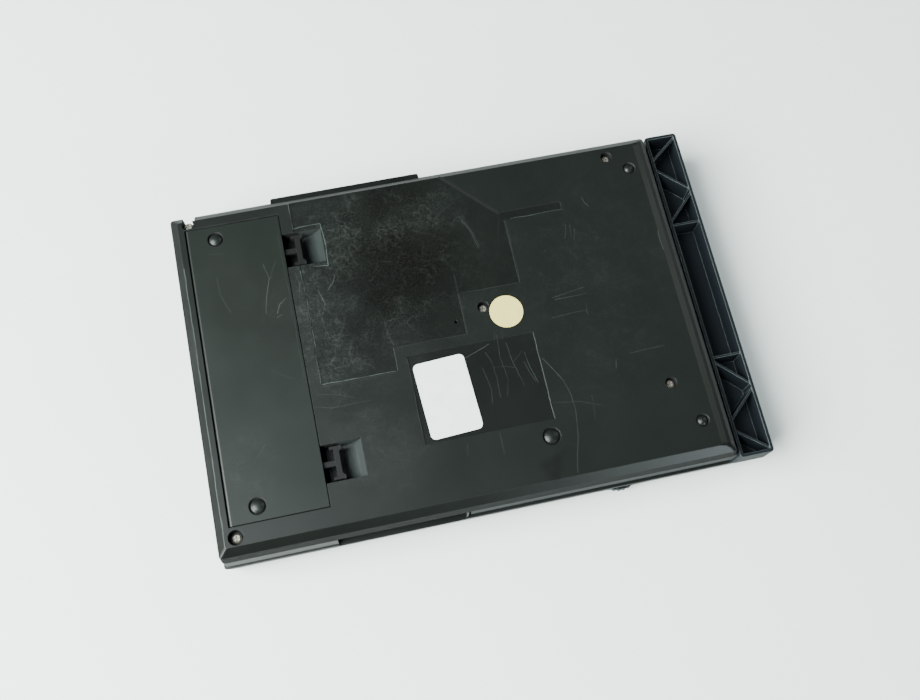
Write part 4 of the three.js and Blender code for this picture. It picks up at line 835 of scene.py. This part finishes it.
class Finish(Enum):
    """Finishes of the pieces, each with what the real surface is and what it gives the eye."""

    # ABS moulded in a spark-eroded tool, greenish black: a soft sheen with the grain just seen
    CASE = Plastic("case plastic", "#101311")
    # The same ABS on the upper shell, whose smooth draft faces mirror the table as a pale band
    RIM = Plastic("rim plastic", "#121513", shine=0.3, side_grain=0.1, lean=0.25)
    # ABS of another batch, bluish black, rubbed to grey on its thin ribs by hands and tables, with a
    # painted highlight along the same rib edges
    HANDLE = Plastic(
        "handle plastic",
        "#0f1317",
        highlight_and_wear_colour="#6e7675",
        roughness=0.36,
        edge_mm=0.5,
        edge_wear=1.0,
        side_grain=0.08,
        lean=0.35,
    )
    # ABS of the keys, dark grey and polished by fingers, so a little shinier than the case
    KEYS = Plastic("key plastic", "#1d2123", roughness=0.3)
    # Cast acrylic, smoked: nearly clear, with sharp reflections
    WINDOW = Sheet("window plastic", "#5b6466", "#50585a", roughness=0.06, clear=0.8)
    # Coated polyester film, white and flat: the lightest spot of the picture
    LABEL = Sheet("white film", "#e3e6e4", "#d3d6d2", roughness=0.5)
    # Uncoated gummed paper, aged to cream: a dull round spot with faint clouds
    STICKER = Sheet("cream paper", "#c9bf6e", "#bbb05e", roughness=0.7)
    # Cold-headed steel with dull nickel plate: a small grey glint in each well
    SCREW = Metal("nickel steel", "#96938a", roughness=0.62)
    # Cold-rolled sheet, zinc plated and passivated: a plain grey sheen
    SHEET = Metal("zinc-plated steel", "#a9a89f", roughness=0.35)
    # Spring strip and wire with bright nickel plate: a clear glint in the dark bay
    SPRING = Metal("spring nickel", "#c3c4c4", roughness=0.22)
    # Free-cutting brass, turned: a yellow gleam with a few dull spots
    BRASS = Metal("turned brass", "#b08d4a", roughness=0.25)
    # Nitrile rubber, moulded and ground: black, without gloss
    RUBBER = Sheet("black rubber", "#161616", "#1f1f1f", roughness=0.85)
    # Pressed paper pulp, dyed black: dull, with a faint mottle
    CONE = Sheet("cone paper", "#1f1e1d", "#2a2927", roughness=0.9)
    # Phenolic paper laminate, sawn: brown with a faint cloud
    BOARD = Sheet("board laminate", "#6a5a30", "#5c4e2a", roughness=0.55)
    # Moulded polyamide: off-white and waxy
    NYLON = Sheet("white nylon", "#cfcfc6", "#c3c3b9", roughness=0.5)
    # Stacked iron sheets round lacquered copper wire: red-brown, clouded with grey
    WINDING = Sheet("laminated iron and winding", "#6b3d25", "#4f4a45", roughness=0.5)
    # Alkyd lacquer rolled on board, pale grey-green: bright, without gloss or pattern
    TABLE = Sheet("table lacquer", "#e4e9e6", "#dfe4e1", roughness=0.55, spot_mm=170.0)


Style = Plastic | Metal | Sheet


class Workshop:
    """Makes each finish once and keeps it for the pieces that share it."""

    def __init__(self) -> None:
        """Starts with no material made."""
        self.made: dict[Style, bpy.types.Material] = {}

    def material(self, style: Style) -> bpy.types.Material:
        """Gives the material of a finish.

        Args:
            style: the finish.

        Returns:
            The material, made at its first use.
        """
        if style not in self.made:
            self.made[style] = style.make()
        return self.made[style]


@dataclass
class SubAssembly:
    """A group of CAD pieces that is dressed together.

    Attributes:
        nodes: all CAD node objects by name.
        shop: maker of the materials.
        crease_deg: angle between two faces from which their edge stays sharp.
    """

    nodes: dict[str, bpy.types.Object]
    shop: Workshop
    crease_deg: float = 32.0

    def looks(self) -> dict[str, Style]:
        """Says which finish each piece of the group has."""
        return {}

    def shade(self, node: bpy.types.Object) -> None:
        """Shades the curved faces of a piece smoothly and keeps its creases sharp."""
        node.data.set_sharp_from_angle(angle=math.radians(self.crease_deg))
        node.data.shade_smooth()

    def dress(self) -> None:
        """Gives every piece its finish and reports it."""
        for name, style in self.looks().items():
            node = self.nodes[name]
            node.data.materials.clear()
            node.data.materials.append(self.shop.material(style))
            self.shade(node)
            log.info("%s: %s in %s", type(self).__name__, name, style.name)


@dataclass
class Casing(SubAssembly):
    """The two shells of the case and their screws.

    Attributes:
        edge_mm: radius of the moulded edges.
        edge_wear: how much those edges are rubbed, from 0 to 1.
        screws: how many screws hold the shells.
    """

    edge_mm: float = 0.3
    edge_wear: float = 0.08
    screws: int = 5

    def underside(self) -> Plastic:
        """Describes the worn plastic of the underside.

        Returns:
            The finish, with the scratches, rubbed patches and dirt of the photo, and painted shade and
            sheen in its steps, wells and finger scoop floors.
        """
        wear_and_painted_light = WearAndPaintedLight(SCRATCHES, PAINTED_SHADE_LINES, DARK_PATCHES, RUBBED_PATCHES, SCOOP_SHEEN, SHADED_HOLLOWS)
        # ABS, satin: greasy and dark in the middle of its panel, rubbed grey round it
        edges = {"edge_mm": self.edge_mm, "edge_wear": self.edge_wear}
        return Plastic("worn case plastic", "#101311", wear_and_painted_light=wear_and_painted_light, **edges)

    def looks(self) -> dict[str, Style]:
        """Dresses the shells in plastic and the screws in metal.

        Returns:
            The finish of each piece by its name.
        """
        heads = {f"case_screw_{k}": Finish.SCREW.value for k in range(1, self.screws + 1)}
        return {"lower_case": self.underside(), "upper_case": Finish.RIM.value, **heads}


@dataclass
class BatteryBay(SubAssembly):
    """The battery door and the contacts under it.

    Attributes:
        edge_mm: radius of the door's edges.
    """

    edge_mm: float = 0.3

    def door(self) -> Plastic:
        """Describes the scratched plastic of the door.

        Returns:
            The finish, with the scratches of the photo, and painted shade along its gap and in the moats of
            its feet.
        """
        wear_and_painted_light = WearAndPaintedLight(DOOR_SCRATCHES, DOOR_GAP_SHADE, DOOR_PATCHES, DOOR_RUBBED, SCOOP_SHEEN, SHADED_HOLLOWS)
        # ABS, satin: cleaner and a little lighter than the case, with a few bright scratches
        return Plastic("scratched case plastic", "#131714", edge_mm=self.edge_mm, edge_wear=0.0, wear_and_painted_light=wear_and_painted_light)

    def looks(self) -> dict[str, Style]:
        """Dresses the door in plastic and the contacts in spring nickel.

        Returns:
            The finish of each piece by its name.
        """
        contacts = ("battery_spring_contact", "battery_plus_contact", "battery_link_plate")
        return {"battery_door": self.door(), **dict.fromkeys(contacts, Finish.SPRING.value)}


@dataclass
class CarryHandle(SubAssembly):
    """The ribbed handle that slides out of the end.

    Attributes:
        edge_mm: radius of its edges, worn rounder than those of the case.
    """

    edge_mm: float = 0.5

    def looks(self) -> dict[str, Style]:
        """Dresses the handle in its own plastic."""
        return {"carry_handle": replace(Finish.HANDLE.value, edge_mm=self.edge_mm)}


@dataclass
class Electrics(SubAssembly):
    """The mains parts, the board, the sockets, the volume control and the sound parts.

    Attributes:
        winding_mm: size of the spots on the transformer's winding.
    """

    winding_mm: float = 6.0

    def looks(self) -> dict[str, Style]:
        """Dresses the sockets and the wheel in dark plastic and the cans in plated steel.

        Returns:
            The finish of each piece by its name.
        """
        sockets = ("remote_socket", "microphone_socket", "earphone_socket", "mains_inlet")
        cans = ("volume_control", "speaker_basket", "microphone_capsule")
        return {
            **dict.fromkeys(sockets, Finish.HANDLE.value),
            "volume_wheel": Finish.HANDLE.value,
            **dict.fromkeys(cans, Finish.SHEET.value),
            "circuit_board": Finish.BOARD.value,
            "mains_transformer": replace(Finish.WINDING.value, spot_mm=self.winding_mm),
            "speaker_cone": Finish.CONE.value,
        }


@dataclass
class TapeDeck(SubAssembly):
    """The works that drive the tape.

    Attributes:
        dull_mm: size of the dull spots on the plated steel.
    """

    dull_mm: float = 1.2

    def looks(self) -> dict[str, Style]:
        """Dresses the works in steel, brass, rubber and nylon.

        Returns:
            The finish of each piece by its name.
        """
        drive = ("deck_plate", "capstan_flywheel", "flywheel_bracket", "motor")
        heads = ("head_plate", "record_play_head", "erase_head")
        return {
            **dict.fromkeys(drive + heads, replace(Finish.SHEET.value, spot_mm=self.dull_mm)),
            **dict.fromkeys(("capstan_bush", "motor_pulley"), Finish.BRASS.value),
            **dict.fromkeys(("drive_belt", "idler_wheel", "pinch_roller"), Finish.RUBBER.value),
            **dict.fromkeys(("supply_spindle", "takeup_spindle"), Finish.NYLON.value),
        }


@dataclass
class Face(SubAssembly):
    """The keys, the counter and the cassette door, on the side that the recorder lies on.

    Attributes:
        key_edge_mm: radius of the edges of the keys.
    """

    key_edge_mm: float = 0.3

    def looks(self) -> dict[str, Style]:
        """Dresses the keys and the counter in plastic and the door in case plastic.

        Returns:
            The finish of each piece by its name.
        """
        keys = ("record_key", "rewind_key", "fast_forward_key", "play_key", "stop_eject_key", "pause_key")
        plastic = replace(Finish.KEYS.value, edge_mm=self.key_edge_mm)
        return {
            **dict.fromkeys(keys, plastic),
            "counter_reset_button": plastic,
            "key_shaft": Finish.SHEET.value,
            "cassette_door": Finish.CASE.value,
            "cassette_window": Finish.WINDOW.value,
            "tape_counter": Finish.NYLON.value,
            "counter_drum": Finish.HANDLE.value,
        }


@dataclass
class Stickers(SubAssembly):
    """The bare label and the bare round sticker.

    Attributes:
        film_cloud_mm: size of the faint clouds in the film.
        paper_cloud_mm: size of the faint clouds in the paper.
    """

    film_cloud_mm: float = 6.0
    paper_cloud_mm: float = 6.0

    def looks(self) -> dict[str, Style]:
        """Dresses the label in film and the sticker in paper.

        Returns:
            The finish of each piece by its name.
        """
        film = replace(Finish.LABEL.value, spot_mm=self.film_cloud_mm)
        paper = replace(Finish.STICKER.value, spot_mm=self.paper_cloud_mm)
        return {"rating_label": film, "round_sticker": paper}


@dataclass
class Table:
    """The pale table that the recorder lies on.

    Attributes:
        side: side of its plane, in metres.
    """

    side: float = 6.0

    def build(self, shop: Workshop) -> bpy.types.Object:
        """Lays the plane and dresses it.

        Args:
            shop: maker of the materials.

        Returns:
            The table object.
        """
        half = self.side / 2
        mesh = bpy.data.meshes.new("table")
        corners = [(-half, -half, 0), (half, -half, 0), (half, half, 0), (-half, half, 0)]
        mesh.from_pydata(corners, [], [(0, 1, 2, 3)])
        mesh.materials.append(shop.material(Finish.TABLE.value))
        made = bpy.data.objects.new("table", mesh)
        bpy.context.scene.collection.objects.link(made)
        return made


@dataclass(frozen=True)
class Lamp:
    """One soft square lamp that faces the recorder.

    Attributes:
        name: what the lamp stands for.
        at: its place, in metres.
        side: its side, in metres.
        watts: its power.
        tint: sRGB hex colour of its light.
    """

    name: str
    at: Place
    side: float
    watts: float
    tint: str

    def hang(self) -> bpy.types.Object:
        """Hangs the lamp.

        Returns:
            The lamp object.
        """
        data = bpy.data.lights.new(self.name, "AREA")
        data.shape = "SQUARE"
        data.size = self.side
        data.energy = self.watts
        data.color = linear(self.tint)[:3]
        made = bpy.data.objects.new(self.name, data)
        made.location = self.at
        made.rotation_mode = "QUATERNION"
        made.rotation_quaternion = (-Vector(self.at)).to_track_quat("-Z", "Y")
        bpy.context.scene.collection.objects.link(made)
        return made


@dataclass
class PhotoCamera:
    """The camera of the photo.

    Attributes:
        eye: place of the camera, in metres.
        aim: point in the middle of the picture, in metres.
        roll_deg: turn of the camera about its view, leftwards.
        focal_px: focal length, in pixels of the photo.
        photo_px: width of the photo, in pixels.
        sensor_mm: width of the sensor.
    """

    eye: Place = (-0.0606, -0.1709, 0.5487)
    aim: Place = (-0.00513, -0.01138, 0.042)
    roll_deg: float = 7.2755
    focal_px: float = 1050.0
    photo_px: float = 920.0
    sensor_mm: float = 36.0

    def place(self) -> bpy.types.Object:
        """Sets the camera up and makes it the scene's own.

        Returns:
            The camera object.
        """
        data = bpy.data.cameras.new("camera")
        data.sensor_width = self.sensor_mm
        data.lens = self.sensor_mm * self.focal_px / self.photo_px
        data.dof.use_dof = False
        eye, aim = Vector(self.eye), Vector(self.aim)
        turn = (aim - eye).to_track_quat("-Z", "Y") @ Quaternion((0, 0, 1), math.radians(self.roll_deg))
        made = bpy.data.objects.new("camera", data)
        made.location = eye
        made.rotation_mode = "QUATERNION"
        made.rotation_quaternion = turn
        bpy.context.scene.collection.objects.link(made)
        bpy.context.scene.camera = made
        return made


@dataclass
class Studio:
    """The even light of the room and its soft lamps.

    Attributes:
        room_tint: sRGB hex colour of the even light.
        room_strength: strength of the even light.
        lamps: the soft lamps, of which the window is by far the strongest.
    """

    room_tint: str = "#e2eae8"
    room_strength: float = 0.22
    lamps: tuple[Lamp, ...] = (
        Lamp("window", (-1.15, -0.25, 1.15), 1.3, 150.0, "#f8fffb"),
        Lamp("ceiling", (-0.75, -0.1, 1.95), 1.2, 22.0, "#e9f8ff"),
        Lamp("left wall", (-1.5, 0.77, 0.83), 0.7, 6.0, "#eef4ff"),
        Lamp("right wall", (1.5, 0.6, 1.15), 0.9, 9.0, "#eef6f2"),
        Lamp("front wall", (0.72, -1.45, 0.75), 0.6, 13.0, "#e6f4f8"),
    )

    def build(self) -> None:
        """Fills the room with light and hangs the lamps."""
        world = bpy.data.worlds.new("room")
        bpy.context.scene.world = world
        world.use_nodes = True
        background = world.node_tree.nodes["Background"]
        background.inputs["Color"].default_value = linear(self.room_tint)
        background.inputs["Strength"].default_value = self.room_strength
        for lamp in self.lamps:
            log.info("lamp: %s", lamp.hang().name)


def main() -> None:
    """Loads the frame, dresses the recorder and sets the studio round it."""
    logging.basicConfig(level=logging.INFO, format="%(message)s")
    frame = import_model()
    shop = Workshop()
    for group in (Casing, BatteryBay, CarryHandle, Electrics, TapeDeck, Face, Stickers):
        group(frame["nodes"], shop).dress()
    log.info("stage: %s", Table().build(shop).name)
    Studio().build()
    log.info("view: %s", PhotoCamera().place().name)


if __name__ == "__main__":
    main()
